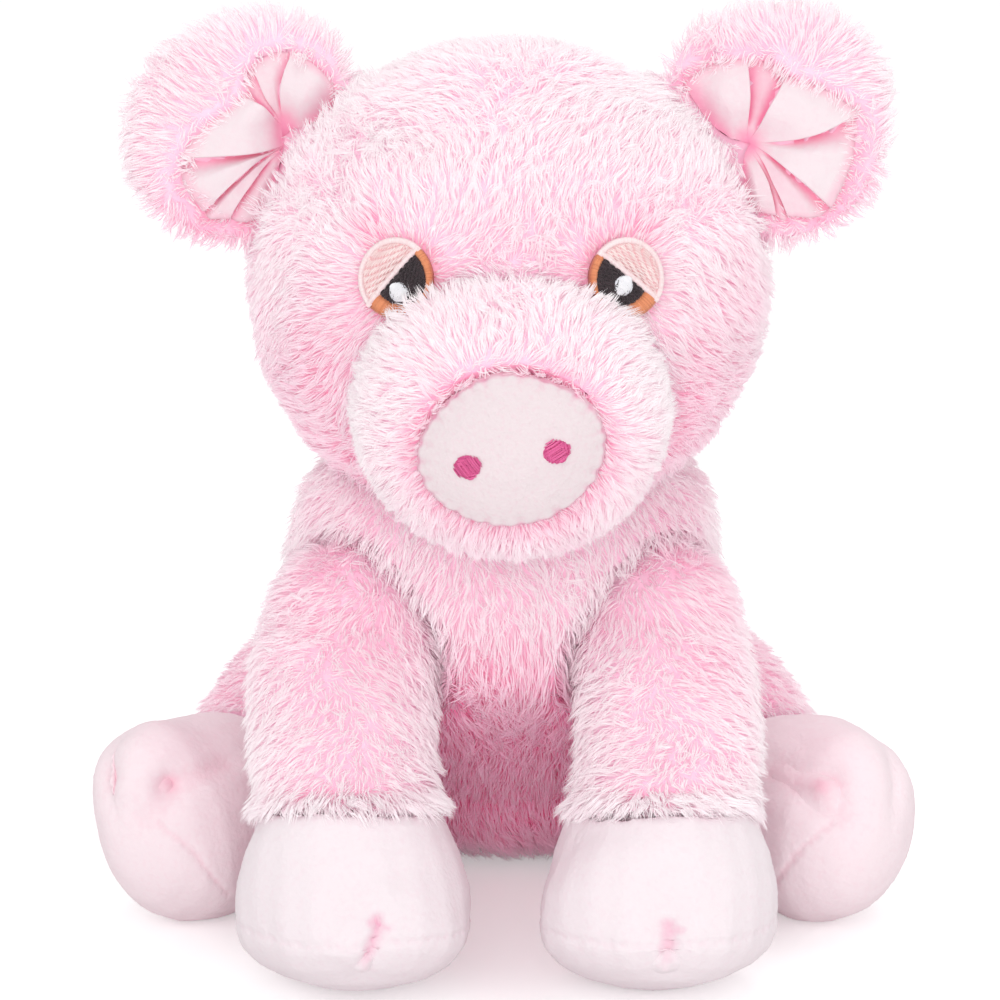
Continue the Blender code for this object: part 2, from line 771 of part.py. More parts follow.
def build_snout(looks, pivot, parent):
    matrix = snout_frame()
    pad = snout_form(0, SNOUT_BACK, 0)
    new_object("snout_pad", *placed(pad, matrix), looks["velboa"], pivot, parent)

    def surface(across, up, lift):
        return matrix @ Vector((across, up, snout_front_at(across, up) + lift))

    for name, side in SIDES:
        middle = (side * NOSTRIL_SPACING / 2, -NOSTRIL_DROP)
        outline = [
            (
                middle[0] + NOSTRIL_HALF_WIDTH * math.cos(2 * math.pi * step / EYE_SEGMENTS),
                middle[1] + NOSTRIL_HALF_HEIGHT * math.sin(2 * math.pi * step / EYE_SEGMENTS),
            )
            for step in range(EYE_SEGMENTS)
        ]
        patch(f"nostril_{name}", outline, middle, surface, looks["nostril"], pivot, parent)


# Where a half disc's middle lies on its radius, and the points along its straight edge
HALF_DISC_CENTRE_SHARE = 0.42
CHORD_SHARES = (0.25, 0.5, 0.75)


def arc(radius, start, end, steps, slope):
    points = []
    for step in range(steps + 1):
        turn = start + (end - start) * step / steps + slope
        points.append((radius * math.cos(turn), radius * math.sin(turn)))
    return points


def half_disc(radius, inset, upper, slope):
    """Outline of a half disc above or below the lid's edge, drawn in by an inset."""
    reach = radius - inset
    rise = math.asin(inset / reach)
    start, end = (rise, math.pi - rise) if upper else (math.pi + rise, 2 * math.pi - rise)
    curve = arc(reach, start, end, EYE_SEGMENTS, slope)
    (x1, y1), (x0, y0) = curve[-1], curve[0]
    chord = [(x1 + (x0 - x1) * share, y1 + (y0 - y1) * share) for share in CHORD_SHARES]
    return curve + chord


def eye_surface(side):
    """Points on the head in the eye's own flat coordinates, raised by a lift."""
    across = side * EYE_SPACING / 2
    height = EYE_HEIGHT - HEAD_HEIGHT
    depth = HEAD_HALF_DEPTH * math.sqrt(
        1 - (across / HEAD_HALF_WIDTH) ** 2 - (height / HEAD_HALF_HEIGHT) ** 2
    )
    centre = Vector((across, -depth, height))
    normal = Vector(
        (
            centre.x / HEAD_HALF_WIDTH**2,
            centre.y / HEAD_HALF_DEPTH**2,
            centre.z / HEAD_HALF_HEIGHT**2,
        )
    ).normalized()
    right = (X_AXIS - normal * normal.x).normalized()
    up = right.cross(-normal)

    def surface(along, rise, lift):
        point = centre + right * along + up * rise
        direction = point.normalized()
        return HEAD_CENTRE + direction * (head_radius_along(direction) + lift)

    return surface


def build_eye(looks, name, side, pivot, parent, muzzle_outside):
    surface = eye_surface(side)
    slope = LID_SLOPE_LEFT if side > 0 else LID_SLOPE_RIGHT
    half_gap = SEAM_GAP / 2
    outer = half_disc(EYE_RADIUS, half_gap, True, slope)
    inner = half_disc(EYE_RADIUS, EYE_BORDER, True, slope)
    field = half_disc(EYE_RADIUS, EYE_BORDER + SEAM_GAP, True, slope)
    made = [
        band(f"lid_border_{name}", outer, inner, True, surface, looks["border"], pivot, parent),
        patch(f"eyelid_{name}", field, lid_centre(slope), surface, looks["lid"], pivot, parent),
    ]
    pupil_outline = half_disc(PUPIL_RADIUS, half_gap, False, slope)
    pupil_centre = lid_centre(slope + math.pi)
    made.append(patch(f"pupil_{name}", pupil_outline, pupil_centre, surface, looks["pupil"], pivot, parent))
    ends = (math.pi, 2 * math.pi)
    rise = half_gap / PUPIL_RADIUS
    ring = [
        arc(radius, ends[0] + rise, ends[1] - rise, EYE_SEGMENTS, slope)
        for radius in (EYE_RADIUS, PUPIL_RADIUS + SEAM_GAP)
    ]
    made.append(band(f"iris_{name}", ring[0], ring[1], False, surface, looks["iris"], pivot, parent))

    def raised(along, up, lift):
        return surface(along, up, lift + SEAM_GAP + STITCH_THICKNESS)

    middle = (HIGHLIGHT_DROP * math.sin(slope), -HIGHLIGHT_DROP * math.cos(slope))
    spot = [
        (middle[0] + x, middle[1] + y) for x, y in arc(HIGHLIGHT_RADIUS, 0, 2 * math.pi, EYE_SEGMENTS, 0)[:-1]
    ]
    made.append(patch(f"highlight_{name}", spot, middle, raised, looks["white"], pivot, parent))
    for piece in made:
        boolean(piece, muzzle_outside)


def lid_centre(slope):
    reach = EYE_RADIUS * HALF_DISC_CENTRE_SHARE
    return (-reach * math.sin(slope), reach * math.cos(slope))


# Ears


# The share of the lining's radius where its pleats gather, and of the dish's depth left at its rim
LINING_ROOT_SHARE = 0.16
DISH_RIM_SHARE = 0.5


def fan(grow, low, high, steps=15, rings=2):
    """A fan-shaped solid on the ear's front between two height functions."""
    rows = [[], []]
    spread = LINING_SPREAD + 2 * grow / LINING_RADIUS
    for level, height in enumerate((low, high)):
        for ring in range(rings + 1):
            share = LINING_ROOT_SHARE + (1 - LINING_ROOT_SHARE) * ring / rings
            for step in range(steps + 1):
                angle = (step / steps - 0.5) * spread
                radius = share * LINING_RADIUS + (grow if ring == rings else -grow if ring == 0 else 0)
                place = (radius * math.sin(angle), LINING_REACH + radius * math.cos(angle))
                rows[level].append(Vector((place[0], height(share, step / steps), place[1])))
    count, width = len(rows[0]), steps + 1
    faces = []
    for ring in range(rings):
        for step in range(steps):
            low_left = ring * width + step
            quad = (low_left, low_left + 1, low_left + width + 1, low_left + width)
            faces.append(quad)
            faces.append(tuple(count + corner for corner in reversed(quad)))
    edge = list(range(steps)) + [ring * width + steps for ring in range(rings)]
    edge += [rings * width + step for step in range(steps, 0, -1)]
    edge += [ring * width for ring in range(rings, 0, -1)]
    for here, after in zip(edge, edge[1:] + edge[:1]):
        faces.append((after, here, count + here, count + after))
    return rows[0] + rows[1], faces


def dish(share, turn):
    return EAR_HALF_THICKNESS - DISH_DEPTH * (1 - DISH_RIM_SHARE * share**2)


def lining_back(share, turn):
    return dish(share, turn) + SEAM_GAP


def lining_front(share, turn):
    pleat = 0.5 - 0.5 * math.cos(2 * math.pi * LINING_PLEATS * turn)
    return lining_back(share, turn) + LINING_THICKNESS + PLEAT_DEPTH * pleat * math.sin(math.pi * share)


def beyond_ear(share, turn):
    return EAR_HALF_THICKNESS + OVERRUN


def ear_root(name, matrix, grow):
    """The gathered root: a spindle turned about the hinge."""
    rows = [(0, 0, 0, EAR_ROOT_RADIUS, EAR_ROOT_RADIUS)]
    spindle = frame(matrix.translation, matrix.col[1].to_3d(), matrix.col[0].to_3d())
    dome = EAR_SEAM_LENGTH / 2
    form = placed(loft(rows, dome, dome, grow, INNER_SEGMENTS, mids=0), spindle)
    return as_cutter(new_object(name, *form))


def build_ear(looks, name, matrix, parent):
    pivot = matrix.translation
    ear = new_object(
        f"ear_{name}",
        *placed(loft(EAR_ROWS, 0, EAR_DOME), matrix),
        looks["fur"],
        pivot,
        parent,
    )
    boolean(ear, ear_root(f"ear_root_{name}", matrix, 0), "UNION")
    recess = as_cutter(new_object(f"ear_dish_{name}", *placed(fan(SEAM_GAP, dish, beyond_ear), matrix)))
    boolean(ear, recess)
    lining = placed(fan(0, lining_back, lining_front), matrix)
    new_object(f"ear_lining_{name}", *lining, looks["lining"], pivot, parent)


# Legs


def build_foreleg(looks, name, side, floor):
    pivot = side_point(side, SHOULDER_SPACING, SHOULDER_REACH, SHOULDER_HEIGHT)
    parent = joint_empty(f"foreleg_{name}_swing", pivot)
    matrix = foreleg_frame(side)
    rows = foreleg_rows(side)
    domes = (0, SHOULDER_RADIUS)
    shell(
        f"foreleg_{name}", rows, domes, FUR_WALL, looks["fur"], matrix, pivot, parent, (OVERRUN, 0)
    )
    paw_rows = forepaw_rows(side)
    paw_domes = (forepaw_dome(), 0)
    valley = (FOREPAW_CLEFT, math.pi * 1.5, -FOREPAW_CLEFT_DROP, CLEFT_HALF_LENGTH)
    paw = shell(
        f"forepaw_{name}",
        paw_rows,
        paw_domes,
        VELBOA_WALL,
        looks["velboa"],
        matrix,
        pivot,
        parent,
        (0, OVERRUN),
        valley,
    )
    boolean(paw, floor)
    core = filling(
        f"foreleg_stuffing_{name}",
        rows,
        domes,
        FUR_WALL,
        looks["stuffing"],
        matrix,
        pivot,
        parent,
        (CORE_LAP, 0),
    )
    paw_core = as_cutter(
        filling(
            f"forepaw_core_{name}",
            paw_rows,
            paw_domes,
            VELBOA_WALL + FOREPAW_CLEFT,
            None,
            matrix,
            None,
            None,
        )
    )
    boolean(core, paw_core, "UNION")
    return travel_cutter(
        f"shoulder_{name}", rows, domes, matrix, pivot, SHOULDER_RADIUS, -FORELEG_SWING
    )


def build_hindleg(looks, name, side, floor):
    pivot = side_point(side, HIP_SPACING, HIP_REACH, HIP_HEIGHT)
    parent = joint_empty(f"hindleg_{name}_lift", pivot)
    matrix = hip_frame(side)
    domes = (HIP_RADIUS, 0)
    near, far = HIP_FACE_SPACING / 2, HIP_FACE_SPACING / 2 - SEAM_GAP
    size = HIP_RADIUS * 3

    def inner_half(label, face):
        middle = Vector((side * (face - size), -HIP_REACH, HIP_HEIGHT))
        reach = Vector((1, 1, 1)) * size
        return box_cutter(f"{label}_{name}", middle - reach, middle + reach)

    hip_face = inner_half("hip_face", near)
    core_face = inner_half("hip_core_face", near + FUR_WALL / 2)
    skin = shell(
        f"hindleg_{name}", HINDLEG_ROWS, domes, FUR_WALL, looks["fur"], matrix, pivot, parent, (0, OVERRUN)
    )
    core = filling(
        f"hindleg_stuffing_{name}",
        HINDLEG_ROWS,
        domes,
        FUR_WALL,
        looks["stuffing"],
        matrix,
        pivot,
        parent,
        (0, CORE_LAP),
    )
    foot_matrix = hindfoot_frame(side)
    foot_rows = hindfoot_rows(side)
    valley = (HINDFOOT_CLEFT, math.pi / 2, ANKLE_DISTANCE + HINDFOOT_CLEFT_REACH, CLEFT_HALF_LENGTH)
    foot = shell(
        f"hindfoot_{name}",
        foot_rows,
        (0, HINDFOOT_DOME),
        VELBOA_WALL,
        looks["foot"],
        foot_matrix,
        pivot,
        parent,
        (OVERRUN, 0),
        valley,
    )
    foot_core = as_cutter(
        filling(
            f"hindfoot_core_{name}",
            foot_rows,
            (0, HINDFOOT_DOME),
            VELBOA_WALL + HINDFOOT_CLEFT,
            None,
            foot_matrix,
            None,
            None,
        )
    )
    boolean(core, foot_core, "UNION")
    for piece in (skin, core, foot):
        boolean(piece, floor)
    boolean(skin, hip_face)
    boolean(core, core_face)
    cutter = travel_cutter(
        f"hip_{name}", HINDLEG_ROWS, domes, matrix, pivot, HIP_RADIUS, -HINDLEG_LIFT
    )
    boolean(cutter, inner_half("hip_socket_face", far))
    return cutter


# Tail


def tail_path():
    """Centres and radii: a straight stem out of the rump, then a helix."""
    root = Vector((0, TAIL_REACH, TAIL_HEIGHT))
    path = [(root + Y_AXIS * TAIL_STEM * share, share) for share in (0, 0.5, 1)]
    steps = round(TAIL_STEPS_A_TURN * TAIL_TURNS)
    for step in range(1, steps + 1):
        turn = 2 * math.pi * TAIL_TURNS * step / steps
        grown = min(1, 3 * step / steps)
        point = Vector(
            (
                TAIL_CURL_RADIUS * math.sin(turn),
                TAIL_REACH + TAIL_STEM + TAIL_CURL_PITCH * turn / (2 * math.pi) * grown,
                TAIL_HEIGHT + TAIL_CURL_RADIUS * (1 - math.cos(turn)),
            )
        )
        path.append((point, 1 + step / steps))
    return path


def build_tail(looks):
    path = tail_path()
    root = path[0][0]
    parent = joint_empty("tail_flex", root)
    points, rings = [], []
    up = Z_AXIS
    for index, (centre, share) in enumerate(path):
        before = path[max(index - 1, 0)][0]
        after = path[min(index + 1, len(path) - 1)][0]
        along = (after - before).normalized()
        across = up.cross(along).normalized()
        up = along.cross(across)
        radius = TAIL_RADIUS + (TAIL_TIP_RADIUS - TAIL_RADIUS) * max(share - 1, 0)
        rings.append(range(len(points), len(points) + TAIL_SIDES))
        for step in range(TAIL_SIDES):
            turn = 2 * math.pi * step / TAIL_SIDES
            points.append(centre + (across * math.cos(turn) + up * math.sin(turn)) * radius)
    faces = [tuple(rings[0]), tuple(reversed(rings[-1]))]
    for low, high in zip(rings, rings[1:]):
        for step in range(TAIL_SIDES):
            after = (step + 1) % TAIL_SIDES
            faces.append((low[step], low[after], high[after], high[step]))
    tail = new_object("tail", points, faces, looks["fur"], root, parent)
    boolean(tail, ball_cutter("tail_root", root, TAIL_ROOT_RADIUS, 0, INNER_SEGMENTS, BALL_RINGS), "UNION")
    tip = path[-1][0]
    boolean(tail, ball_cutter("tail_tip", tip, TAIL_KNOT_RADIUS, 0, TAIL_SIDES, BALL_RINGS), "UNION")
    clearance = turning_clearance(TAIL_ROOT_RADIUS, INNER_SEGMENTS, BALL_RINGS)
    return ball_cutter("tail_socket", root, TAIL_ROOT_RADIUS, clearance, INNER_SEGMENTS, BALL_RINGS)


def build():
    clear_scene()
    looks = {
        "fur": material("fur", FUR_PINK),
        "muzzle": material("muzzle_fur", MUZZLE_PINK),
        "velboa": material("velboa", VELBOA_WHITE),
        "foot": material("foot_velboa", FOOT_PINK),
        "lining": material("ear_lining", LINING_PINK),
        "stuffing": material("stuffing", STUFFING_WHITE),
        "lid": material("eyelid_thread", LID_PEACH, 0.5),
        "border": material("border_thread", BORDER_ROSE, 0.5),
        "iris": material("iris_thread", IRIS_ORANGE, 0.5),
        "pupil": material("pupil_thread", PUPIL_BLACK, 0.6),
        "white": material("highlight_thread", THREAD_WHITE, 0.5),
        "nostril": material("nostril_thread", NOSTRIL_MAGENTA, 0.5),
    }
    floor = floor_cutter()
    head_joint = joint_empty("head_nod", NECK_CENTRE)
    limb_cutters = []
    for name, side in SIDES:
        limb_cutters.append(build_foreleg(looks, name, side, floor))
        limb_cutters.append(build_hindleg(looks, name, side, floor))
    limb_cutters.append(build_tail(looks))
    build_body(looks, floor, limb_cutters)
    ear_sockets = []
    for name, side in SIDES:
        matrix = ear_frame(side)
        ear_joint = joint_empty(f"ear_{name}_flop", matrix.translation)
        build_ear(looks, name, matrix, ear_joint)
        clearance = turning_clearance(EAR_ROOT_RADIUS, INNER_SEGMENTS)
        ear_sockets.append(ear_root(f"ear_socket_{name}", matrix, clearance))
    pad_cutter = as_cutter(
        new_object(
            "snout_opening",
            *placed(snout_form(SEAM_GAP, SNOUT_BACK - SEAM_GAP, OVERRUN), snout_frame()),
        )
    )
    build_head(looks, NECK_CENTRE, head_joint, ear_sockets, pad_cutter)
    build_snout(looks, NECK_CENTRE, head_joint)
    muzzle_outside = as_cutter(
        new_object(
            "muzzle_outside",
            *placed(loft(MUZZLE_ROWS, 0, MUZZLE_CROWN, SEAM_GAP), MUZZLE_FRAME),
        )
    )
    for name, side in SIDES:
        build_eye(looks, name, side, NECK_CENTRE, head_joint, muzzle_outside)


build()
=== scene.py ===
"""The looks of the plush pig: fur, velboa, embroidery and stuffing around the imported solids.

Metres, +Z up. The toy faces -Y and its own left side is at +X. Every fur strand is a closed
tapered spike that grows from a backing cloth, and every stitch is a closed bent thread.
"""

import math

import bmesh
import bpy
import numpy as np
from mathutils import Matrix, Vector
from mathutils.kdtree import KDTree


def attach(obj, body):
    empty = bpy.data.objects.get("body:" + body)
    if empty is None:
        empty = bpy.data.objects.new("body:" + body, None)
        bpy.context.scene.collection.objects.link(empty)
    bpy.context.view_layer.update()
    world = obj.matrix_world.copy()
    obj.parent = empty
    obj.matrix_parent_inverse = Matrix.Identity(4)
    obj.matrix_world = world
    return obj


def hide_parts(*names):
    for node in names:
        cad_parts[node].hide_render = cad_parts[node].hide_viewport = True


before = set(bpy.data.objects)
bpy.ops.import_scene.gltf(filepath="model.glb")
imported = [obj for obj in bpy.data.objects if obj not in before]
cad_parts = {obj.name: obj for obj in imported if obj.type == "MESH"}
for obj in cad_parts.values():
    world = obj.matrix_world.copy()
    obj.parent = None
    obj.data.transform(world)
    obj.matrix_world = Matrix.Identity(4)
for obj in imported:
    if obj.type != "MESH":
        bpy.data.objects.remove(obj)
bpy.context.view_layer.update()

MM = 0.001
SIDES = (("left", 1), ("right", -1))
UP = np.array((0.0, 0.0, 1.0))
FRONT = np.array((0.0, -1.0, 0.0))
RIGHT = np.array((1.0, 0.0, 0.0))

# The photograph's camera
CAMERA_PITCH = math.radians(15)
CAMERA_DISTANCE = 1.3
CAMERA_TARGET = Vector((0, -0.058, 0.13))
SENSOR = 36.0
FOCAL_PIXELS = 4850.7
PICTURE_PIXELS = 1000
TARGET_PIXEL = (506, 449)

# Fur
FLOOR_GAP = 0.25 * MM
CLUMP_SPACING = 2.3 * MM
CLUMP_PULL = 0.65
FRINGE_SPACING = 0.72
LOOSE_SHARE = 0.12

# How far strands lean at the root and at the tip, as shares of their own lean
LEAN_SHARES = (0.45, 1.35)

# The share of the way from the palest to the deepest strand for one step of shade
TONE_STEP = 0.25


# Arrays

WAVE_COUNT = 7


def unit(vectors):
    size = np.linalg.norm(vectors, axis=-1, keepdims=True)
    return vectors / np.maximum(size, 1e-9)


def dot(first, second):
    return np.sum(first * second, axis=-1, keepdims=True)


def distance(points, place=0.0):
    return np.linalg.norm(points - place, axis=1, keepdims=True)


def smoothstep(low, high, values):
    share = np.clip((values - low) / (high - low), 0, 1)
    return share * share * (3 - 2 * share)


def waves(points, wavelength, seed):
    """A smooth random vector field with about that wavelength, each part about -1 to 1."""
    rng, count = np.random.default_rng(seed), WAVE_COUNT
    pace = rng.uniform(0.7, 1.4, (count, 1)) * 2 * math.pi / wavelength
    directions = unit(rng.normal(size=(count, 3))) * pace
    phases = rng.uniform(0, 2 * math.pi, count)
    weights = rng.normal(size=(count, 3)) / math.sqrt(count / 2)
    return np.sin(points @ directions.T + phases) @ weights


def blotches(points):
    return 0.16 * waves(points, 0.035, 5)[:, 0]


# Meshes

SMOOTH_IN = 0.5
SMOOTH_OUT = -0.515


def new_mesh(name, points, sizes, corners, look, uvs=None):
    """A mesh from flat arrays: the size of each face, and the point at each corner."""
    mesh = bpy.data.meshes.new(name)
    mesh.vertices.add(len(points))
    mesh.vertices.foreach_set("co", np.asarray(points, np.float32).ravel())
    mesh.loops.add(len(corners))
    mesh.loops.foreach_set("vertex_index", np.asarray(corners, np.int32))
    mesh.polygons.add(len(sizes))
    starts = np.concatenate(([0], np.cumsum(sizes)[:-1]))
    mesh.polygons.foreach_set("loop_start", starts.astype(np.int32))
    mesh.polygons.foreach_set("use_smooth", np.full(len(sizes), uvs is None))
    if uvs is not None:
        layer = mesh.uv_layers.new(name="OFBake")
        layer.uv.foreach_set("vector", np.asarray(uvs, np.float32)[corners].ravel())
    mesh.update(calc_edges=True)
    mesh.validate()
    mesh.materials.append(look)
    made = bpy.data.objects.new(name, mesh)
    bpy.context.scene.collection.objects.link(made)
    return made


def set_tint(made, tint):
    """How far each point's colour goes from its material's base to its deep colour."""
    layer = made.data.attributes.new("tint", "FLOAT", "POINT")
    layer.data.foreach_set("value", np.broadcast_to(tint, len(made.data.vertices)).astype(np.float32))


class Surface:
    """Points, four-cornered faces and smooth normals."""

    def __init__(self, points, faces):
        self.points, self.faces = points, faces
        self.find_normals()

    def find_normals(self):
        a, b, c, d = (self.points[self.faces[:, k]] for k in range(4))
        across = np.cross(c - a, d - b)
        normals = np.zeros_like(self.points)
        for k in range(4):
            np.add.at(normals, self.faces[:, k], across)
        self.normals = unit(normals)

    def edges(self):
        return np.concatenate([self.faces[:, [k, (k + 1) % 4]] for k in range(4)])

    def smooth(self, rounds):
        """Evens out the facets without shrinking the form."""
        start, end = self.edges().T
        count = np.bincount(start, minlength=len(self.points))[:, None]
        for pull in (SMOOTH_IN, SMOOTH_OUT) * rounds:
            total = [np.bincount(start, self.points[end, k], len(self.points)) for k in range(3)]
            mean = np.stack(total, axis=1) / np.maximum(count, 1)
            self.points = self.points + (mean - self.points) * pull
        self.find_normals()
        return self

    def moved(self, offset):
        return Surface(self.points + self.normals * offset, self.faces)

    def press(self, depth):
        """Draws the cloth in by its own depth at each point."""
        self.points = self.points - self.normals * depth[:, None]
        self.find_normals()

    def refined(self):
        """Each face parted in four, and evened out."""
        pairs, numbered = np.unique(np.sort(self.edges(), axis=1), axis=0, return_inverse=True)
        middles = self.points[pairs].mean(axis=1)
        centres = self.points[self.faces].mean(axis=1)
        count, faces = len(self.points), len(self.faces)
        middle = count + numbered.reshape(4, faces)
        centre = count + len(pairs) + np.arange(faces)
        parts = [np.stack((self.faces[:, k], middle[k], centre, middle[k - 1]), axis=1) for k in range(4)]
        return Surface(np.concatenate((self.points, middles, centres)), np.concatenate(parts)).smooth(2)

    def without(self, gone):
        """The surface without the faces whose corners are all gone."""
        faces = self.faces[~gone[self.faces].all(axis=1)]
        used, numbered = np.unique(faces, return_inverse=True)
        kept = Surface(self.points[used], numbered.reshape(-1, 4))
        kept.normals, kept.used = self.normals[used], used
        return kept

    def scatter(self, spacing, rng):
        """Even random spots: points, normals."""
        triangles = np.concatenate([self.faces[:, [0, 1, 2]], self.faces[:, [0, 2, 3]]])
        order = np.arange(len(triangles)).reshape(2, -1).T.ravel()
        triangles = triangles[order]
        a, b, c = (self.points[triangles[:, k]] for k in range(3))
        reach = np.cumsum(np.linalg.norm(np.cross(b - a, c - a), axis=1) / 2)
        count = int(reach[-1] / spacing**2)
        places = (np.arange(count) + rng.random(count)) * reach[-1] / count
        found = triangles[np.minimum(np.searchsorted(reach, places), len(triangles) - 1)]
        u, v = rng.random((2, count, 1))
        over = u + v > 1
        u, v = np.where(over, 1 - u, u), np.where(over, 1 - v, v)
        shares = (1 - u - v, u, v)
        points, normals = (
            sum(values[found[:, k]] * shares[k] for k in range(3)) for values in (self.points, self.normals)
        )
        return points, unit(normals)


def largest_shell(points, faces):
    """The biggest connected part, which is the outside."""
    label = np.arange(len(points))
    while True:
        low = label[faces].min(axis=1)
        new = label.copy()
        for k in range(4):
            np.minimum.at(new, faces[:, k], low)
        new = new[new]
        if np.array_equal(new, label):
            break
        label = new
    most = np.bincount(label[faces[:, 0]]).argmax()
    faces = faces[label[faces[:, 0]] == most]
    used, numbered = np.unique(faces, return_inverse=True)
    return points[used], numbered.reshape(-1, 4)


def solid(names, voxel, rounds, shift=0.0):
    """The outside of some CAD nodes together, in even faces and smoothed."""
    joined = bmesh.new()
    for name in names:
        joined.from_mesh(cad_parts[name].data)
    bmesh.ops.remove_doubles(joined, verts=joined.verts, dist=0.002 * MM)
    mesh = bpy.data.meshes.new("welded")
    joined.to_mesh(mesh)
    joined.free()
    made = bpy.data.objects.new("solid", mesh)
    bpy.context.scene.collection.objects.link(made)
    remesh = made.modifiers.new("even", "REMESH")
    remesh.mode = "VOXEL"
    remesh.voxel_size = voxel
    mesh = made.evaluated_get(bpy.context.evaluated_depsgraph_get()).to_mesh()
    points = np.empty(len(mesh.vertices) * 3, np.float32)
    mesh.vertices.foreach_get("co", points)
    faces = np.empty(len(mesh.loops), np.int32)
    mesh.loops.foreach_get("vertex_index", faces)
    surface = Surface(*largest_shell(points.reshape(-1, 3).astype(float), faces.reshape(-1, 4)))
    bpy.data.objects.remove(made)
    surface.smooth(rounds)
    surface.points += shift
    return surface


def nearest_of(points, targets):
    """The number of the target nearest to each point."""
    tree = KDTree(len(targets))
    for index, target in enumerate(targets.tolist()):
        tree.insert(target, index)
    tree.balance()
    return np.array([tree.find(point)[1] for point in points.tolist()])


def depths(points, surface):
    """How deep each point lies under a smooth surface, negative outside."""
    deep = np.full(len(points), -1.0)
    low, high = surface.points.min(axis=0) - 4 * MM, surface.points.max(axis=0) + 4 * MM
    close = np.nonzero(((points > low) & (points < high)).all(axis=1))[0]
    if len(close):
        nearest = nearest_of(points[close], surface.points)
        deep[close] = dot(surface.points[nearest] - points[close], surface.normals[nearest])[:, 0]
    return deep


# Looks


def add_node(tree, kind, inputs=(), **settings):
    """A new node. Each input is given its value, or the socket that leads to it."""
    made = tree.nodes.new("ShaderNode" + kind)
    for key, value in settings.items():
        setattr(made, key, value)
    for key, value in dict(inputs).items():
        if isinstance(value, bpy.types.NodeSocket):
            tree.links.new(value, made.inputs[key])
        else:
            made.inputs[key].default_value = value
    return made


def node_material(name, roughness, specular, sheen=0.0):
    made = bpy.data.materials.new(name)
    made.use_nodes = True
    shader = made.node_tree.nodes["Principled BSDF"]
    shader.inputs["Roughness"].default_value = roughness
    shader.inputs["Sheen Weight"].default_value = sheen
    shader.inputs["Sheen Roughness"].default_value = 0.5
    shader.inputs["Specular IOR Level"].default_value = specular
    return made, made.node_tree, shader


def ramp(tree, share, places, colors):
    """The colour at a share of the way along some colours, as the screen writes them."""
    made = add_node(tree, "ValToRGB", {"Fac": share})
    elements = made.color_ramp.elements
    while len(elements) < len(places):
        elements.new(0.5)
    for element, place, color in zip(elements, places, colors):
        element.position = place
        element.color = (*srgb(color), 1)
    return made.outputs["Color"]


def srgb(color):
    """Red, green and blue as the screen writes them, 0 to 255, in linear shares."""
    values = [x / 255 for x in color]
    return tuple(x / 12.92 if x <= 0.04045 else ((x + 0.055) / 1.055) ** 2.4 for x in values)


def fur_material(name, pale, deep):
    """U runs along a strand from root to tip, V from the deepest to the palest strand.

    pale and deep are the root, middle and tip colours of the palest and the deepest strand.
    """
    made, tree, shader = node_material(name, 0.9, 0.05)
    uv = add_node(tree, "UVMap", uv_map="OFBake")
    parts = add_node(tree, "SeparateXYZ", {"Vector": uv.outputs["UV"]})
    light, dark = (ramp(tree, parts.outputs["X"], (0.0, 0.45, 1.0), colors) for colors in (pale, deep))
    mix = add_node(tree, "Mix", {0: parts.outputs["Y"], 6: dark, 7: light}, data_type="RGBA")
    tree.links.new(mix.outputs[2], shader.inputs["Base Color"])
    return made


def tinted_material(name, base, deep, mottle=0.05, roughness=0.9, sheen=0.1, specular=0.1, scale=900.0):
    """Cloth or thread whose attribute tint leads from its base to its deep colour, with a nap."""
    made, tree, shader = node_material(name, roughness, specular, sheen)
    tint = add_node(tree, "Attribute", attribute_name="tint")
    place = add_node(tree, "TexCoord").outputs["Object"]
    noise = add_node(tree, "TexNoise", {"Vector": place, "Scale": scale * 0.6, "Detail": 4})
    shift = add_node(tree, "MapRange", {
        "Value": noise.outputs[0], "From Min": 0.3, "From Max": 0.7, "To Min": -mottle, "To Max": mottle,
    })
    total = add_node(
        tree, "Math", {0: tint.outputs["Fac"], 1: shift.outputs["Result"]}, operation="ADD", use_clamp=True
    )
    tree.links.new(ramp(tree, total.outputs[0], (0.0, 1.0), (base, deep)), shader.inputs["Base Color"])
    nap = add_node(tree, "TexNoise", {"Vector": place, "Scale": scale, "Detail": 3})
    bump = add_node(tree, "Bump", {"Strength": 0.5, "Distance": 0.3 * MM, "Height": nap.outputs[0]})
    tree.links.new(bump.outputs["Normal"], shader.inputs["Normal"])
    return made


# Strand roots are deeper pink than tips, partly the pile's own colour and partly painted shade deep in the
# pile; the deep strands carry painted shade in the belly, at the hem, by seams and at the parted fur.
FUR = fur_material(
    "fur",
    pale=((255, 240, 246), (255, 249, 251), (255, 252, 253)),
    deep=((255, 119, 186), (255, 200, 227), (255, 223, 238)),
)
# Its deep colour is painted shade: the cloth turns deep pink by seams, creases and the parted fur.
BACKING = tinted_material("backing_cloth", (255, 222, 238), (248, 128, 178), sheen=0.0, specular=0.05)
VELBOA = tinted_material("velboa", (242, 231, 235), (238, 150, 184))
SNOUT_VELBOA = tinted_material("snout_velboa", (231, 217, 220), (232, 138, 176), mottle=0.09, scale=1500.0)
FOOT_VELBOA = tinted_material("foot_velboa", (248, 231, 236), (240, 140, 172))
LINING_VELBOA = tinted_material("lining_velboa", (240, 226, 230), (244, 132, 174))
WOOL = tinted_material("wool", (247, 247, 244), (222, 222, 218), mottle=0.3, scale=400.0)
THREADS = {
    word: tinted_material(
        f"{word}_thread", base, deep, mottle=0.1, roughness=0.5, sheen=0.2, specular=0.4, scale=4000.0
    )
    for word, base, deep in (
        ("lid", (255, 239, 237), (232, 168, 174)),
        ("border", (255, 240, 240), (240, 190, 197)),
        ("iris", (238, 158, 112), (190, 98, 60)),
        ("pupil", (66, 50, 56), (30, 22, 26)),
        ("highlight", (252, 252, 254), (222, 222, 230)),
        ("nostril", (240, 112, 170), (196, 54, 120)),
    )
}


# Fur


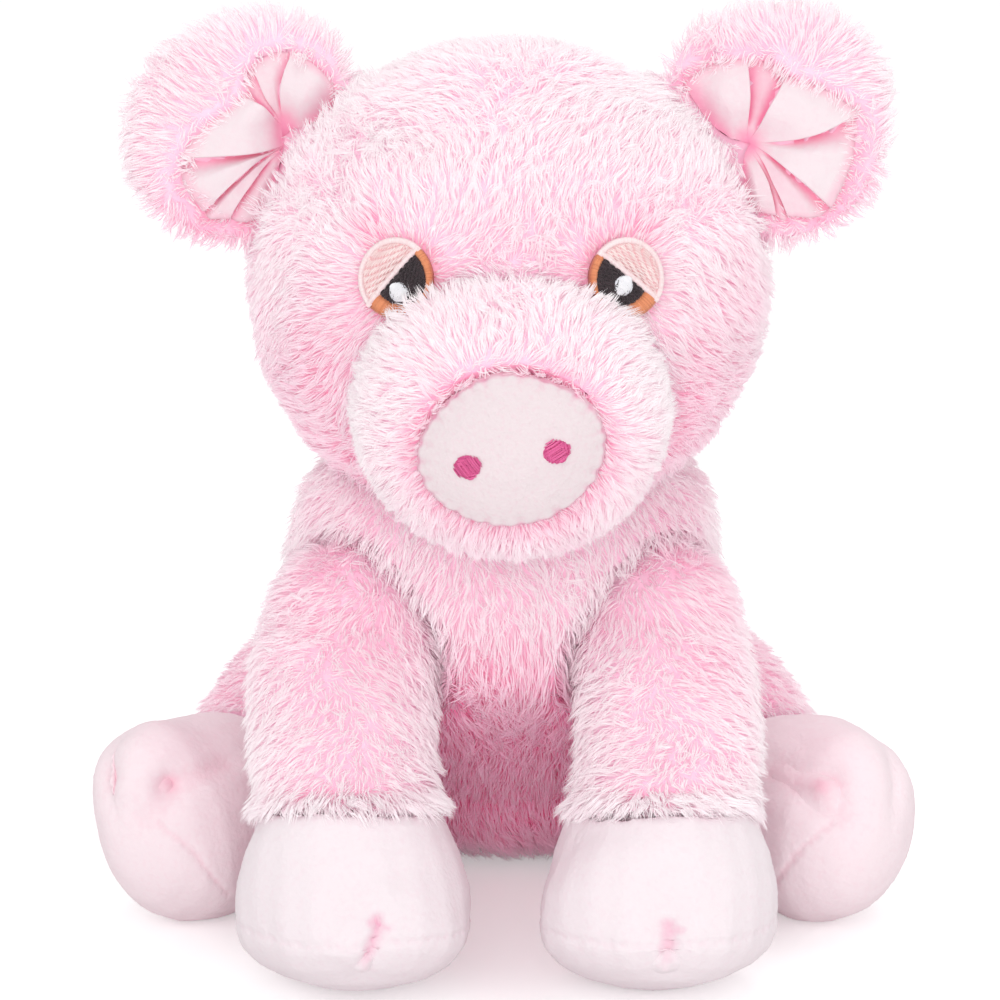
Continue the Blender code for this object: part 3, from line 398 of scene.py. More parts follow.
def fur(name, owner, roots, normals, flow, length, lean, shade, width, rng, clumps, labels):
    """Spikes that grow from the roots, combed along flow and gathered in clumps."""
    count = len(roots)
    clump_roots, clump_normals, clump_flow, clump_length = clumps
    nearest = nearest_of(roots, clump_roots)

    def curve(base, normal, comb, size, lean):
        along = unit(comb - normal * dot(comb, normal))
        start, end = (lean * share for share in LEAN_SHARES)
        low, high = start + (end - start) * 0.25, start + (end - start) * 0.75
        middle = base + (normal * np.cos(low) + along * np.sin(low)) * size / 2
        return middle, middle + (normal * np.cos(high) + along * np.sin(high)) * size / 2

    clump_count = len(clump_roots)
    lean = lean * 1.25
    clump_lean = lean + rng.normal(0, 0.12, (clump_count, 1))
    clump_comb = clump_flow + rng.normal(0, 0.30, (clump_count, 3))
    clump_size = clump_length * rng.uniform(0.8, 1.12, (clump_count, 1))
    clump_middle, clump_tip = curve(clump_roots, clump_normals, clump_comb, clump_size, clump_lean)
    strand_lean = clump_lean[nearest] + rng.normal(0, 0.10, (count, 1))
    comb = clump_comb[nearest] * 0.5 + flow * 0.5 + rng.normal(0, 0.20, (count, 3))
    size = length * rng.uniform(0.82, 1.08, (count, 1))
    middle, tip = curve(roots, normals, comb, size, strand_lean)
    loose = rng.random((count, 1)) < LOOSE_SHARE
    hold = np.where(loose, CLUMP_PULL * 0.3, CLUMP_PULL * rng.uniform(0.7, 1.15, (count, 1)))
    middle += (clump_middle[nearest] - middle) * hold * 0.4
    tip += (clump_tip[nearest] - tip) * hold
    thick = width * rng.uniform(0.75, 1.25, (count, 1)) * np.where(loose, 0.55, 1)
    rings = []
    for centre, ahead, share in ((roots, middle - roots, 1.0), (middle, tip - roots, 0.8)):
        along = unit(ahead)
        across = unit(np.cross(along, normals + rng.normal(0, 0.25, (count, 3))))
        out = np.cross(across, along)
        for angle in np.radians((90, 330, 210)):
            radial = across * math.cos(angle) * 0.5 + out * math.sin(angle) * 0.36
            rings.append(centre + radial * thick * share)
    points = np.stack([*rings, tip], axis=1)
    points[:, :, 2] = np.maximum(points[:, :, 2], FLOOR_GAP)
    tones = shade + rng.normal(0, 0.10, count) + rng.normal(0, 0.12, clump_count)[nearest]
    tones = np.clip(1 - (1 - tones) * TONE_STEP, 0.02, 0.98)
    places = np.array((0.02, 0.02, 0.02, 0.5, 0.5, 0.5, 0.98))
    uvs = np.stack(np.broadcast_arrays(places[None, :], tones[:, None]), axis=2)
    pattern = np.array((0, 2, 1, 0, 1, 4, 3, 1, 2, 5, 4, 2, 0, 3, 5, 3, 4, 6, 4, 5, 6, 5, 3, 6))
    made = []
    for label in np.unique(labels):
        chosen = np.nonzero(labels == label)[0]
        corners = (np.arange(len(chosen))[:, None] * 7 + pattern).ravel()
        sizes = np.tile((3, 4, 4, 4, 3, 3, 3), len(chosen))
        piece = new_mesh(
            f"{name}_{label}" if label else name, points[chosen].reshape(-1, 3), sizes, corners, FUR,
            uvs[chosen].reshape(-1, 2),
        )
        piece.parent = owner
        made.append(piece)
    return made


def furred(name, sources, length, lean, flow, shade, spacing, seed, inside, trims=(), near=(),
           voxel=1.6, rounds=45, width=0.45, below=2.3, body=None, slot="fur", back=None,
           labels=lambda points: np.full(len(points), ""), bare=None, size=lambda points: 1, shift=0.0,
           mould=lambda points: points, glow=lambda points: 0.0, fringe=None):
    """A backing cloth with fur on it, which stands for its first source. Plain numbers in millimetres.

    inside: forms in which a strand whose tip lies that deep is left out. near: forms that no
    root comes as near to. trims: forms in which the cloth itself ends. back: the place along y
    where it ends. mould: changes the cloth's points. glow: how deep the cloth's pink is made,
    painted shade by seams, creases and partings. fringe: where more strands grow.
    """
    rng = np.random.default_rng(seed)
    length, spacing = length * MM, spacing * MM
    cloth = solid(sources, voxel * MM, rounds, shift).moved(-below * MM)
    cloth = Surface(mould(cloth.points), cloth.faces)
    cloth.points[:, 2] = np.maximum(cloth.points[:, 2], FLOOR_GAP)
    for form, depth in trims:
        cloth = cloth.without(depths(cloth.points, FORMS[form]) > depth * MM)
    if back is not None:
        cloth = cloth.without(cloth.points[:, 1] > back * MM)
    sizes = np.full(len(cloth.faces), 4)
    backing = new_mesh(name + "_cloth", cloth.points, sizes, cloth.faces.ravel(), BACKING)
    set_tint(backing, glow(cloth.points))
    roots, normals = cloth.scatter(spacing, rng)
    if fringe is not None:
        more, more_normals = cloth.scatter(spacing * FRINGE_SPACING, rng)
        along = fringe(more) > 0.5
        roots = np.concatenate((roots, more[along]))
        normals = np.concatenate((normals, more_normals[along]))
    clump_roots, clump_normals = cloth.scatter(CLUMP_SPACING, rng)
    keep = np.ones(len(roots), bool)
    for forms, share in ((inside, 0.7), (near, 0.4)):
        for form, depth in forms:
            keep &= ~(depths(roots + normals * length * share, FORMS[form]) > depth * MM)
    if bare is not None:
        keep &= ~bare(roots)
    roots, normals = roots[keep], normals[keep]

    def lengths(spots):
        return length * size(spots) * np.ones((len(spots), 1))

    clumps = (clump_roots, clump_normals, flow(clump_roots), lengths(clump_roots))
    pieces = fur(
        name + "_fur", backing, roots, normals, flow(roots), lengths(roots), lean, shade(roots, normals),
        width * MM, rng, clumps, labels(roots),
    )
    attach(backing, body or name)
    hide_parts(sources[0])


def grown(*pushes):
    """A mould that draws cloth out: for each push its place, way and reach in millimetres."""
    def mould(points):
        moves = np.zeros_like(points)
        for place, way, reach in pushes:
            far = np.sum((points - np.array(place) * MM) ** 2, axis=1, keepdims=True)
            moves += np.array(way) * MM * np.exp(-far / (reach * MM) ** 2)
        return points + moves
    return mould


HEAD_CENTRE = np.array((0.0, -0.058, 0.1745))
HEAD_HALVES = np.array((0.0685, 0.064, 0.065))
FACE_SHIFT = np.array((1.3 * MM, 0.0, 0.0))
SNOUT_MIDDLE = np.array((0.0, -0.1535, 0.1535)) + FACE_SHIFT
SNOUT_REACHES = np.array((24.2, 40.0, 20.0)) * MM
EYES = {"left": (0.0595 / 2, math.radians(-36)), "right": (-0.0595 / 2, math.radians(46))}
EYE_HEIGHT = 0.1898
EYE_RADIUS = 10.5 * MM
EAR_SEAM = np.array((56.0, -49.5, 206.5)) * MM
EAR_SEAM_WAY = np.array((0.515, -0.222, -0.828))


def eye_centre(side_name):
    across = EYES[side_name][0]
    rise = EYE_HEIGHT - HEAD_CENTRE[2]
    depth = HEAD_HALVES[1] * math.sqrt(1 - (across / HEAD_HALVES[0]) ** 2 - (rise / HEAD_HALVES[2]) ** 2)
    return HEAD_CENTRE + np.array((across, -depth, rise)) + FACE_SHIFT


EYE_CENTRES = {name: eye_centre(name) for name, _ in SIDES}


def near_eyes(points, reach, fade, offset=(0.0, 0.0, 0.0)):
    """1 at the eyes, or beside them, and 0 beyond reach plus fade."""
    near = np.zeros((len(points), 1))
    for name, side in SIDES:
        far = distance(points, EYE_CENTRES[name] + np.array(offset) * (side, 1, 1))
        near = np.maximum(near, 1 - smoothstep(reach, reach + fade, far))
    return near


def head_flow(points):
    out = unit(points - HEAD_CENTRE - np.array((0.0, -0.05, 0.0)))
    flow = out * 0.7 - UP * 0.45 + waves(points, 0.045, 3) * 0.4
    for name, _ in SIDES:
        away = points - EYE_CENTRES[name]
        near = 1 - smoothstep(12 * MM, 26 * MM, distance(away))
        flow = flow * (1 - near) + unit(away) * near * 1.2
    return flow


def parted(points):
    """1 where the fur parts at the lids; strands and cloth there are painted deeper pink, painted shade in the
    parting.
    """
    brow = near_eyes(points, 3 * MM, 9 * MM, (7 * MM, 6 * MM, 12 * MM))
    return np.maximum(brow, 0.6 * near_eyes(points, 10.5 * MM, 5 * MM))[:, 0]


def head_shade(points, normals):
    """Palest on the crown and forehead, deeper down the cheeks and behind, partly painted light on top and
    painted shade below; strands facing up are paler, painted light.
    """
    _, y, z = points.T
    tone = -0.5 + 1.3 * smoothstep(0.135, 0.205, z) + 0.5 * smoothstep(0.205, 0.235, z)
    tone = tone + 0.15 * normals[:, 2] - 0.25 * smoothstep(-0.08, -0.02, y)
    return tone - 1.1 * parted(points) + blotches(points)


def head_size(points):
    """Shorter round the eyes, and longer where it falls over the seams of the ears."""
    off = points * np.where(points[:, :1] < 0, (-1, 1, 1), (1, 1, 1)) - EAR_SEAM
    off = off - np.clip(off @ EAR_SEAM_WAY, -18 * MM, 18 * MM)[:, None] * EAR_SEAM_WAY
    seam = 1 - smoothstep(9 * MM, 18 * MM, distance(off))
    return 1 - 0.3 * near_eyes(points, 10 * MM, 10 * MM) + 0.45 * seam


def head_bare(points):
    return near_eyes(points, 9.8 * MM, 0.1 * MM)[:, 0] > 0.5


def down_flow(seed, centre=None):
    def flow(points):
        out = waves(points, 0.04, seed) * 0.3
        return out - UP + (0 if centre is None else unit(points - centre) * 0.4)
    return flow


def plain_shade(level, rise=0.0, heights=(0.0, 1.0)):
    """A shade that also rises by a step between two heights; strands facing up are paler, painted light."""
    def shade(points, normals):
        climb = rise * smoothstep(*heights, points[:, 2])
        return level + climb + 0.15 * normals[:, 2] + blotches(points)
    return shade


def muzzle_flow(points):
    return unit(points - SNOUT_MIDDLE) - UP * 0.25 + waves(points, 0.03, 8) * 0.25


def from_snout(low, high, points):
    """1 by the snout's seam and 0 away from it, between two shares of its halves."""
    return 1 - smoothstep(low, high, distance((points - SNOUT_MIDDLE) / SNOUT_REACHES)[:, 0])


def muzzle_shade(points, normals):
    # Painted shade: deeper by the snout's seam and on the lower muzzle; strands facing up are paler, painted
    # light.
    tone = 0.95 + 0.1 * normals[:, 2] - 0.9 * from_snout(1.02, 1.22, points)
    return tone - 0.75 * smoothstep(0.155, 0.125, points[:, 2]) + 0.12 * waves(points, 0.03, 6)[:, 0]


def muzzle_size(points):
    """Longer below the eyes, whose lower halves it hides."""
    return 1 + 0.5 * near_eyes(points, 12 * MM, 8 * MM)


def muzzle_seam_shade(points):
    # Painted shade: the cloth deep pink by the snout's seam.
    return 0.5 * from_snout(1.04, 1.16, points)


def body_shade(points, normals):
    """Deepest in the belly between the forelegs, painted shade under the chest; strands facing up are paler,
    painted light.
    """
    x, y, z = points.T
    belly = smoothstep(0.10, 0.055, z) * smoothstep(0.055, 0.035, np.abs(x)) * smoothstep(-0.02, -0.045, y)
    return 0.72 - 3.4 * belly + 0.15 * normals[:, 2] + blotches(points)


def halves(points, word):
    """Names for the fur on either side, so that no piece of fur has too many faces."""
    return np.where(points[:, 0] > 0, word + "_left", word + "_right")


def head_labels(points):
    front = np.where(points[:, 2] > 0.19, "top", "front")
    return np.where(points[:, 1] > -0.058, halves(points, "back"), front)


def muzzle_labels(points):
    return np.where(points[:, 2] > 0.158, "top", halves(points, "cheek"))


def body_labels(points):
    return np.where(points[:, 1] > -0.02, halves(points, "back"), halves(points, "front"))


# The outlines of what the fur makes room for
LIMBS = (("foreleg", "foreleg"), ("forepaw", "foreleg"), ("hindleg", "hindleg"), ("hindfoot", "hindleg"))
FORMS = {
    "head": solid(["head_skin", "head_stuffing"], 3 * MM, 12),
    "body": solid(["body_skin", "body_stuffing"], 3 * MM, 12),
    "muzzle": solid(["muzzle_skin", "head_stuffing", "snout_pad"], 2.5 * MM, 6, FACE_SHIFT),
    "pad": solid(["snout_pad"], 1.2 * MM, 1, FACE_SHIFT),
}
for name, _ in SIDES:
    for part, limb in LIMBS:
        FORMS[f"{part}_{name}"] = solid([f"{part}_{name}", f"{limb}_stuffing_{name}"], 2.5 * MM, 6)

furred(
    "head", ["head_skin", "head_stuffing"], length=6.4, lean=0.85, flow=head_flow, shade=head_shade,
    spacing=0.84, seed=11, inside=(("body", 5), ("muzzle", 4)), trims=(("muzzle", 2),), labels=head_labels,
    bare=head_bare, size=head_size, glow=lambda points: 0.6 * parted(points),
    mould=grown(((0, -58, 240), (0, 0, 1.8), 45), ((67, -60, 175), (2.0, 0, 0), 28)),
)
furred(
    "muzzle", ["muzzle_skin", "head_stuffing"], length=5.6, lean=0.75, flow=muzzle_flow, shade=muzzle_shade,
    spacing=0.72, seed=12, inside=(("head", 3), ("body", 5)), trims=(("head", 5),), near=(("pad", 1.6),),
    below=1.8, shift=FACE_SHIFT, glow=muzzle_seam_shade, size=muzzle_size, back=-84, labels=muzzle_labels,
    body="head", slot="muzzle_fur",
)
furred(
    "body", ["body_skin", "body_stuffing"], length=8.2, lean=0.9, flow=down_flow(21, np.array((0, 0, 0.09))),
    shade=body_shade, spacing=1.0, seed=13, labels=body_labels,
    inside=(("head", 5), *((f"{limb}_{name}", 5) for limb in ("foreleg", "hindleg") for name, _ in SIDES)),
    mould=grown(
        ((-66, -42, 88), (-5.5, 0, 1), 24), ((-57, -50, 110), (-2, 0, 1), 18), ((57, -50, 108), (3, 0, 1), 22)
    ),
)

HEM_ALONG = np.array((0.0, math.sin(math.radians(17)), math.cos(math.radians(17))))
LEG_MOULDS = {"left": grown(), "right": grown(((-68, -80, 78), (-2.5, 0, 0), 22))}


def fur_limbs(name, side):
    """The fur of a foreleg, with a denser, longer and deeper fringe at its hem, the deeper pink painted shade
    under the hem, and of a hind leg.
    """
    hem = np.array((side * 0.041, -0.112, 0.046))
    down, plain = down_flow(31 + side), plain_shade(1.05, rise=-0.8, heights=(0.07, 0.10))

    def share(points):
        return 1 - smoothstep(4.5 * MM, 8 * MM, (points - hem) @ HEM_ALONG)

    def flow(points):
        out = np.zeros_like(points)
        out[:, :2] = unit(points[:, :2] - hem[:2])
        return down(points) + out * share(points)[:, None] * 0.06

    furred(
        f"foreleg_{name}", [f"foreleg_{name}", f"foreleg_stuffing_{name}"], length=7.4, lean=0.85, flow=flow,
        shade=lambda points, normals: plain(points, normals) - 0.35 * share(points), spacing=0.92,
        seed=14 + side, inside=(("body", 4), (f"forepaw_{name}", 4.5), ("head", 5)),
        trims=((f"forepaw_{name}", 3),), glow=lambda points: 0.35 * share(points), mould=LEG_MOULDS[name],
        size=lambda points: 1 + 0.3 * share(points)[:, None], fringe=share,
    )
    away = np.array((side * math.sin(math.radians(37)), -math.cos(math.radians(37)), -0.4))
    furred(
        f"hindleg_{name}", [f"hindleg_{name}", f"hindleg_stuffing_{name}"], length=7.4, lean=0.85,
        flow=lambda points: away + waves(points, 0.04, 41) * 0.3, shade=plain_shade(0.15), spacing=0.98,
        seed=17 + side, inside=(("body", 4), (f"hindfoot_{name}", 3.2)), trims=((f"hindfoot_{name}", 2),),
    )


for name, side in SIDES:
    fur_limbs(name, side)
furred(
    "tail", ["tail"], length=3.0, lean=0.95, shade=plain_shade(0.3), spacing=0.62, seed=20,
    flow=lambda points: FRONT * -0.6 - UP * 0.4 + waves(points, 0.01, 45) * 0.5,
    inside=(("body", 2),), voxel=0.8, rounds=6, width=0.36, below=0.9,
)


# Ears

EAR_ORIGIN = np.array((0.05314, -0.04974, 0.20534))
EAR_ALONG = np.array((0.85717, 0.1333, 0.49749))
EAR_UP = np.array((0.0, -0.96593, 0.25882))
EAR_DOWN = np.array((0.51504, -0.22185, -0.82796))

# The creases of each lining, from the gather past a middle place to the rim, in millimetres
# along and down the ear, then which pleat is on top there (1 the one before it, -1 the one
# after it), and the height in millimetres and the pinkness of the pleat after it, a painted
# shade that is deepest on low, tucked pleats
CREASES = {
    "left": (
        ((11.6, -0.8), (6.9, -8.3), (6.0, -22.0), 0, 8.8, 0.05),
        ((13.1, -0.9), (18.2, -8.9), (23.4, -18.9), 1, 6.2, 0.4),
        ((13.3, -0.4), (21.1, -3.8), (29.9, -9.2), -1, 9.3, 0),
        ((13.4, 0.6), (26.9, 7.2), (41.1, 8.2), 1, 9.0, 0),
        ((13.4, 1.6), (17.7, 11.2), (22.2, 26.4), 1, 7.6, 0.22),
        ((13.0, 1.8), (13.3, 12.0), (11.9, 22.3), 1, 5.6, 0.45),
        ((12.5, 1.7), (11.3, 10.8), (8.6, 19.9), -1, 7.4, 0.12),
        ((10.9, 1.9), (7.5, 6.0), (4.4, 13.0), 0, 0, 0),
    ),
    "right": (
        ((8.4, -6.6), (2.9, -13.0), (2.6, -21.0), 0, 8.8, 0),
        ((11.5, -7.2), (15.6, -13.9), (17.9, -24.0), 1, 6.4, 0.12),
        ((11.5, -6.6), (17.7, -10.5), (25.6, -16.1), 1, 5.4, 0.45),
        ((11.2, -6.2), (16.2, -7.1), (23.3, -7.2), -1, 9.3, 0),
        ((7.6, -1.9), (13.6, 4.3), (29.3, 15.2), 1, 8.8, 0),
        ((7.5, -0.9), (12.4, 8.2), (16.7, 23.6), 1, 7.4, 0.15),
        ((7.3, 0.0), (10.1, 9.3), (10.6, 22.1), 1, 6.6, 0.25),
        ((6.6, 0.6), (4.6, 7.2), (1.8, 16.5), 0, 0, 0),
    ),
}
LINING_ROOT = 3.2 * MM
LINING_LOW = 5.0 * MM
LINING_STEPS = 30
LINING_BOW = 0.09
LINING_DEPTH = 1.5 * MM
PIT_REACH = 3.2 * MM
OFF_LINING = 9.0
FOLD_REACH = 1.1 * MM
SHADE_REACH = 0.24
PLEAT_SHARES = np.concatenate([
    np.linspace(start, end, 14, endpoint=False) for start, end in ((0, 0.2), (0.2, 0.8), (0.8, 1))
])


def ear_world(local, side):
    """Points from places along, down and up from the ear's origin."""
    along, down, up = (local[:, k, None] for k in range(3))
    return (EAR_ORIGIN + EAR_ALONG * along + EAR_DOWN * down + EAR_UP * up) * (side, 1, 1)


def crease_line(crease, reach):
    """Places on a crease at shares of the way to its rim, and on past it."""
    root, middle, rim = (np.array(spot) * MM for spot in crease[:3])
    pull = 2 * middle - (root + rim) / 2
    inside = np.minimum(reach, 1)[:, None]
    line = root * (1 - inside) ** 2 + 2 * pull * inside * (1 - inside) + rim * inside**2
    return line + (rim - root) * np.maximum(reach - 1, 0)[:, None]


def pleats(name, reach):
    """A lining on the flat, with a row for each share of the way to its rim.

    Gives its places, those of their roots, and for each column its height and shade.
    """
    share, parts = PLEAT_SHARES, []
    for crease, after in zip(CREASES[name], CREASES[name][1:]):
        start, end = crease_line(crease, reach), crease_line(after, reach)
        root, last_root = (np.array(spot[0]) * MM for spot in (crease, after))
        over_start, over_end = crease[3] == -1, after[3] == 1
        rise = smoothstep(0, 0.05 if over_start else 0.55, share)
        rise = rise * (1 - smoothstep(0.95 if over_end else 0.5, 1.0, share))
        fold = over_end * smoothstep(0.78, 0.95, share) * (1 - smoothstep(0.96, 1.0, share))
        fold = fold - over_start * smoothstep(0, 0.04, share) * (1 - smoothstep(0.05, 0.22, share))
        # Painted shade: deep pink where a pleat lies tucked under its neighbour and on the steep wall where one
        # folds over the next.
        tucked = np.maximum(
            (not over_start) * np.exp(-((share / SHADE_REACH) ** 2)),
            (not over_end) * np.exp(-(((1 - share) / SHADE_REACH) ** 2)),
        )
        wall = np.maximum(
            over_end * smoothstep(0.955, 0.985, share), over_start * (1 - smoothstep(0.015, 0.045, share))
        )
        across = end - start
        flat = start[:, None] + across[:, None] * share[:, None]
        out = (end[-1] + start[-1] - root - last_root) / 2
        flat = flat + out * LINING_BOW * np.sin(math.pi * share)[:, None] * reach[:, None, None]
        lip = FOLD_REACH * fold[:, None] * smoothstep(0.1, 0.6, reach)[:, None, None]
        parts.append((
            flat + unit(across)[:, None] * lip,
            root + (last_root - root) * share[:, None],
            LINING_LOW + (crease[4] * MM - LINING_LOW) * rise,
            np.clip(np.maximum(0.9 * tucked, wall) + crease[5], 0, 1),
        ))
    flats, *others = zip(*parts)
    return np.concatenate(flats, axis=1), *(np.concatenate(values) for values in others)


def lining_height(share, level):
    """Height over the ear's middle plane at a share of the way from the gather to the rim."""
    rise = smoothstep(0.0, 0.62, share) * (1 - 0.42 * smoothstep(0.72, 1.0, share))
    return LINING_ROOT + (level - LINING_ROOT) * rise


def lining_share(points, side, name):
    """The share of the way to the lining's rim, the lining's height there and the point's."""
    away = points * (side, 1, 1) - EAR_ORIGIN
    up = away @ EAR_UP
    reach = np.arange(1, 1 + LINING_STEPS * 3 // 2) / LINING_STEPS
    flat, _, level, _ = pleats(name, reach)
    spots = np.pad(flat.reshape(-1, 2), ((0, 0), (0, 1)))
    asked = np.stack((away @ EAR_ALONG, away @ EAR_DOWN, np.zeros(len(points))), axis=1)
    nearest = nearest_of(asked, spots)
    share = reach[nearest // len(level)]
    height = lining_height(np.minimum(share, 1), level[nearest % len(level)])
    off = (distance(asked, spots[nearest])[:, 0] > 2.5 * MM) | (up < 0)
    return np.where(off, OFF_LINING, share), height, up


EAR_GROWTHS = {
    "left": grown(((88, -43, 232), (5.5, 0, 4.0), 25), ((48, -50, 240), (-2.5, 0, 3.0), 14)),
    "right": grown(((-98, -43, 222), (-2.5, 0, 0.5), 18), ((-46, -50, 241), (3.5, 0, 3.5), 15)),
}


def ear_looks(name, side):
    """How an ear's cloth and fur make room for its lining and lie round its rim."""
    roots = [(*crease[0], 0) for crease in CREASES[name]]
    gather = ear_world(np.mean(roots, axis=0, keepdims=True) * MM, side)[0]

    def mould(points):
        points = EAR_GROWTHS[name](points)
        share, height, up = lining_share(points, side, name)
        sink = np.where(share < 1.0, np.minimum(up, height - 1.0 * MM) - up, 0.0)
        return points + EAR_UP * sink[:, None]

    def by_rim(far, near, points):
        return smoothstep(far, near, lining_share(points, side, name)[0])

    def flow(points):
        rim = by_rim(1.22, 1.04, points)[:, None]
        out = unit(points - gather) * (1.1 - 1.9 * rim)
        return out - UP * (0.25 - 0.25 * rim) + waves(points, 0.03, 51) * 0.35

    return {
        "mould": mould,
        "flow": flow,
        "bare": lambda points: lining_share(points, side, name)[0] < 0.93,
        "size": lambda points: 1 - 0.45 * by_rim(1.25, 1.02, points)[:, None],
        # Painted shade: the cloth deep pink where the fur meets the lining's rim.
        "glow": lambda points: 0.25 * by_rim(1.16, 1.02, points),
    }


for name, side in SIDES:
    furred(
        f"ear_{name}", [f"ear_{name}", f"ear_lining_{name}"], length=7.4, lean=0.8,
        shade=plain_shade(0.0, rise=0.85, heights=(0.19, 0.225)), spacing=0.88, seed=61 + side,
        inside=(("head", 4),), trims=(("head", 6),), voxel=1.3, rounds=30, below=2.0, **ear_looks(name, side),
    )


# Threads and cloth


class Bits:
    """Closed bits of mesh, each with its own tint, that make up one piece."""

    def __init__(self):
        self.points, self.sizes, self.corners, self.tints, self.count = [], [], [], [], 0

    def add(self, points, faces, tint):
        """faces: a list of arrays, each with one row of corners for a face."""
        points = np.asarray(points, float).reshape(-1, 3)
        for group in faces:
            self.sizes.append(np.full(len(group), group.shape[1]))
            self.corners.append((group + self.count).ravel())
        self.points.append(points)
        self.tints.append(np.broadcast_to(np.ravel(tint), len(points)))
        self.count += len(points)

    def made(self, node, kind, look, body, slot, fill=None):
        """The piece, which stands for a CAD node."""
        parts = (self.points, self.sizes, self.corners, self.tints)
        points, sizes, corners, tints = (np.concatenate(part) for part in parts)
        made = new_mesh(f"{node}_{kind}", points, sizes, corners, look)
        set_tint(made, tints)
        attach(made, body)
        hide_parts(node)

    def sewn(self, part, name, slot=None, thread=None):
        """Stitches on the head. The thread bears the part's name where none is given; slot is not used."""
        self.made(f"{part}_{name}", "thread", THREADS[thread or part], "head", f"{slot or part}_thread")


SLAB_RINGS = 4


def slab(bits, outline, place, low, high, tint):
    """A closed patch between two heights under an outline on the flat."""
    size, centre = len(outline), outline.mean(axis=0)
    loops = [centre + (outline - centre) * (ring + 1) / SLAB_RINGS for ring in range(SLAB_RINGS)]
    flat = np.concatenate((centre[None], *loops))
    count, last = len(flat), 1 + (SLAB_RINGS - 1) * size
    step = np.arange(size)
    after = np.roll(step, -1)
    fans = np.stack((np.zeros(size, int), 1 + step, 1 + after), axis=1)
    ring = np.stack((step, size + step, size + after, after), axis=1) + 1
    quads = np.concatenate([ring + k * size for k in range(SLAB_RINGS - 1)])
    wall = np.stack((last + step, last + after, count + last + after, count + last + step), axis=1)
    points = np.concatenate([place(flat, np.full(count, lift)) for lift in (low, high)])
    bits.add(points, (fans[:, ::-1], quads[:, ::-1], fans + count, quads + count, wall), tint)


THREAD_SHARES = np.array((0.0, 0.05, 0.28, 0.5, 0.72, 0.95, 1.0))
THREAD_SIDES = 5
THREAD_DIP = 0.25 * MM


def threads(bits, starts, ends, place, radius, crown, rng, tint):
    """Closed threads from start to end on the flat, which arch over the cloth.

    The radius and the crown, which is how high they arch, are in millimetres.
    """
    count, steps, sides = len(starts), len(THREAD_SHARES), THREAD_SIDES
    flat = (starts[:, None] + (ends - starts)[:, None] * THREAD_SHARES[:, None]).reshape(-1, 2)
    arch = np.sqrt(np.abs(np.sin(math.pi * THREAD_SHARES)))
    lifts = -THREAD_DIP + (crown * MM * rng.uniform(0.85, 1.15, (count, 1)) + THREAD_DIP) * arch
    spots = place(flat, lifts.ravel()).reshape(count, steps, 3)
    above = unit(place(flat, lifts.ravel() + MM).reshape(count, steps, 3) - spots)
    along = unit(np.gradient(spots, axis=1))
    across = unit(np.cross(along, above))
    out = np.cross(across, along)
    turn = 2 * math.pi * np.arange(sides)[:, None] / sides
    thick = radius * MM * np.array((0.6, 1, 1, 1, 0.6))[:, None, None]
    round_it = across[:, 1:-1, None] * np.cos(turn) + out[:, 1:-1, None] * np.sin(turn)
    rings = spots[:, 1:-1, None] + round_it * thick
    points = np.concatenate((spots[:, :1], rings.reshape(count, -1, 3), spots[:, -1:]), axis=1)
    each = points.shape[1]
    low = np.arange(sides)
    high = np.roll(low, -1)
    tips = np.concatenate((
        np.stack((low * 0, low + 1, high + 1), axis=1),
        np.stack((low * 0 + each - 1, high + each - 1 - sides, low + each - 1 - sides), axis=1),
    ))
    ring = np.stack((low, sides + low, sides + high, high), axis=1) + 1
    walls = np.concatenate([ring + k * sides for k in range(steps - 3)])
    starts_at = (np.arange(count) * each)[:, None, None]
    faces = [(group + starts_at).reshape(-1, group.shape[1]) for group in (tips, walls)]
    # Painted shade: each thread deeper towards its ends, where it dips into the cloth; the rest of its tint
    # varies at random.
    ends_tint = np.concatenate(([1], np.repeat(1 - arch[1:-1], sides), [1])) * 0.35
    tints = rng.uniform(0, 2 * tint, (count, 1)) + ends_tint
    bits.add(points, faces, np.clip(tints, 0, 1))


def turned(spots, angle):
    """Flat spots turned about the middle."""
    return spots @ np.array(((math.cos(angle), math.sin(angle)), (-math.sin(angle), math.cos(angle))))


def arc(radius, start, end, steps):
    turn = np.linspace(start, end, steps)
    return np.stack((radius * np.cos(turn), radius * np.sin(turn)), axis=1)


def rows(heights, radius, length, jitter, rng):
    """Starts and ends of stitches laid like bricks in rows over a disc."""
    pairs = []
    for row, height in enumerate(heights):
        half = math.sqrt(max(radius**2 - height**2, 0))
        for low in np.arange(-half - (row * 0.37 % 1) * length, half, length):
            a, b = max(low, -half), min(low + length, half)
            if b - a > 0.22 * length:
                pairs.append(((a, height), (b, height)))
    pairs = np.array(pairs) + rng.normal(0, jitter, (len(pairs), 2, 2))
    return pairs[:, 0], pairs[:, 1]


def chords(offset, half, angle):
    """Starts and ends of stitches side by side, turned together about the middle."""
    return [turned(np.stack((offset, sign * half), axis=1), angle) for sign in (-1, 1)]


def cloth_piece(node, kind, body, slot, surface, look, tint, fill, seed, nap=0.05):
    """A piece with the relief of its nap, whose height is in millimetres, for a CAD node."""
    rng = np.random.default_rng(seed)
    surface = surface.moved(rng.normal(0, 1, (len(surface.points), 1)) * (nap * MM))
    surface.points[:, 2] = np.maximum(surface.points[:, 2], FLOOR_GAP)
    bits = Bits()
    bits.add(surface.points, [surface.faces], tint)
    bits.made(node, kind, look, body, slot, fill)


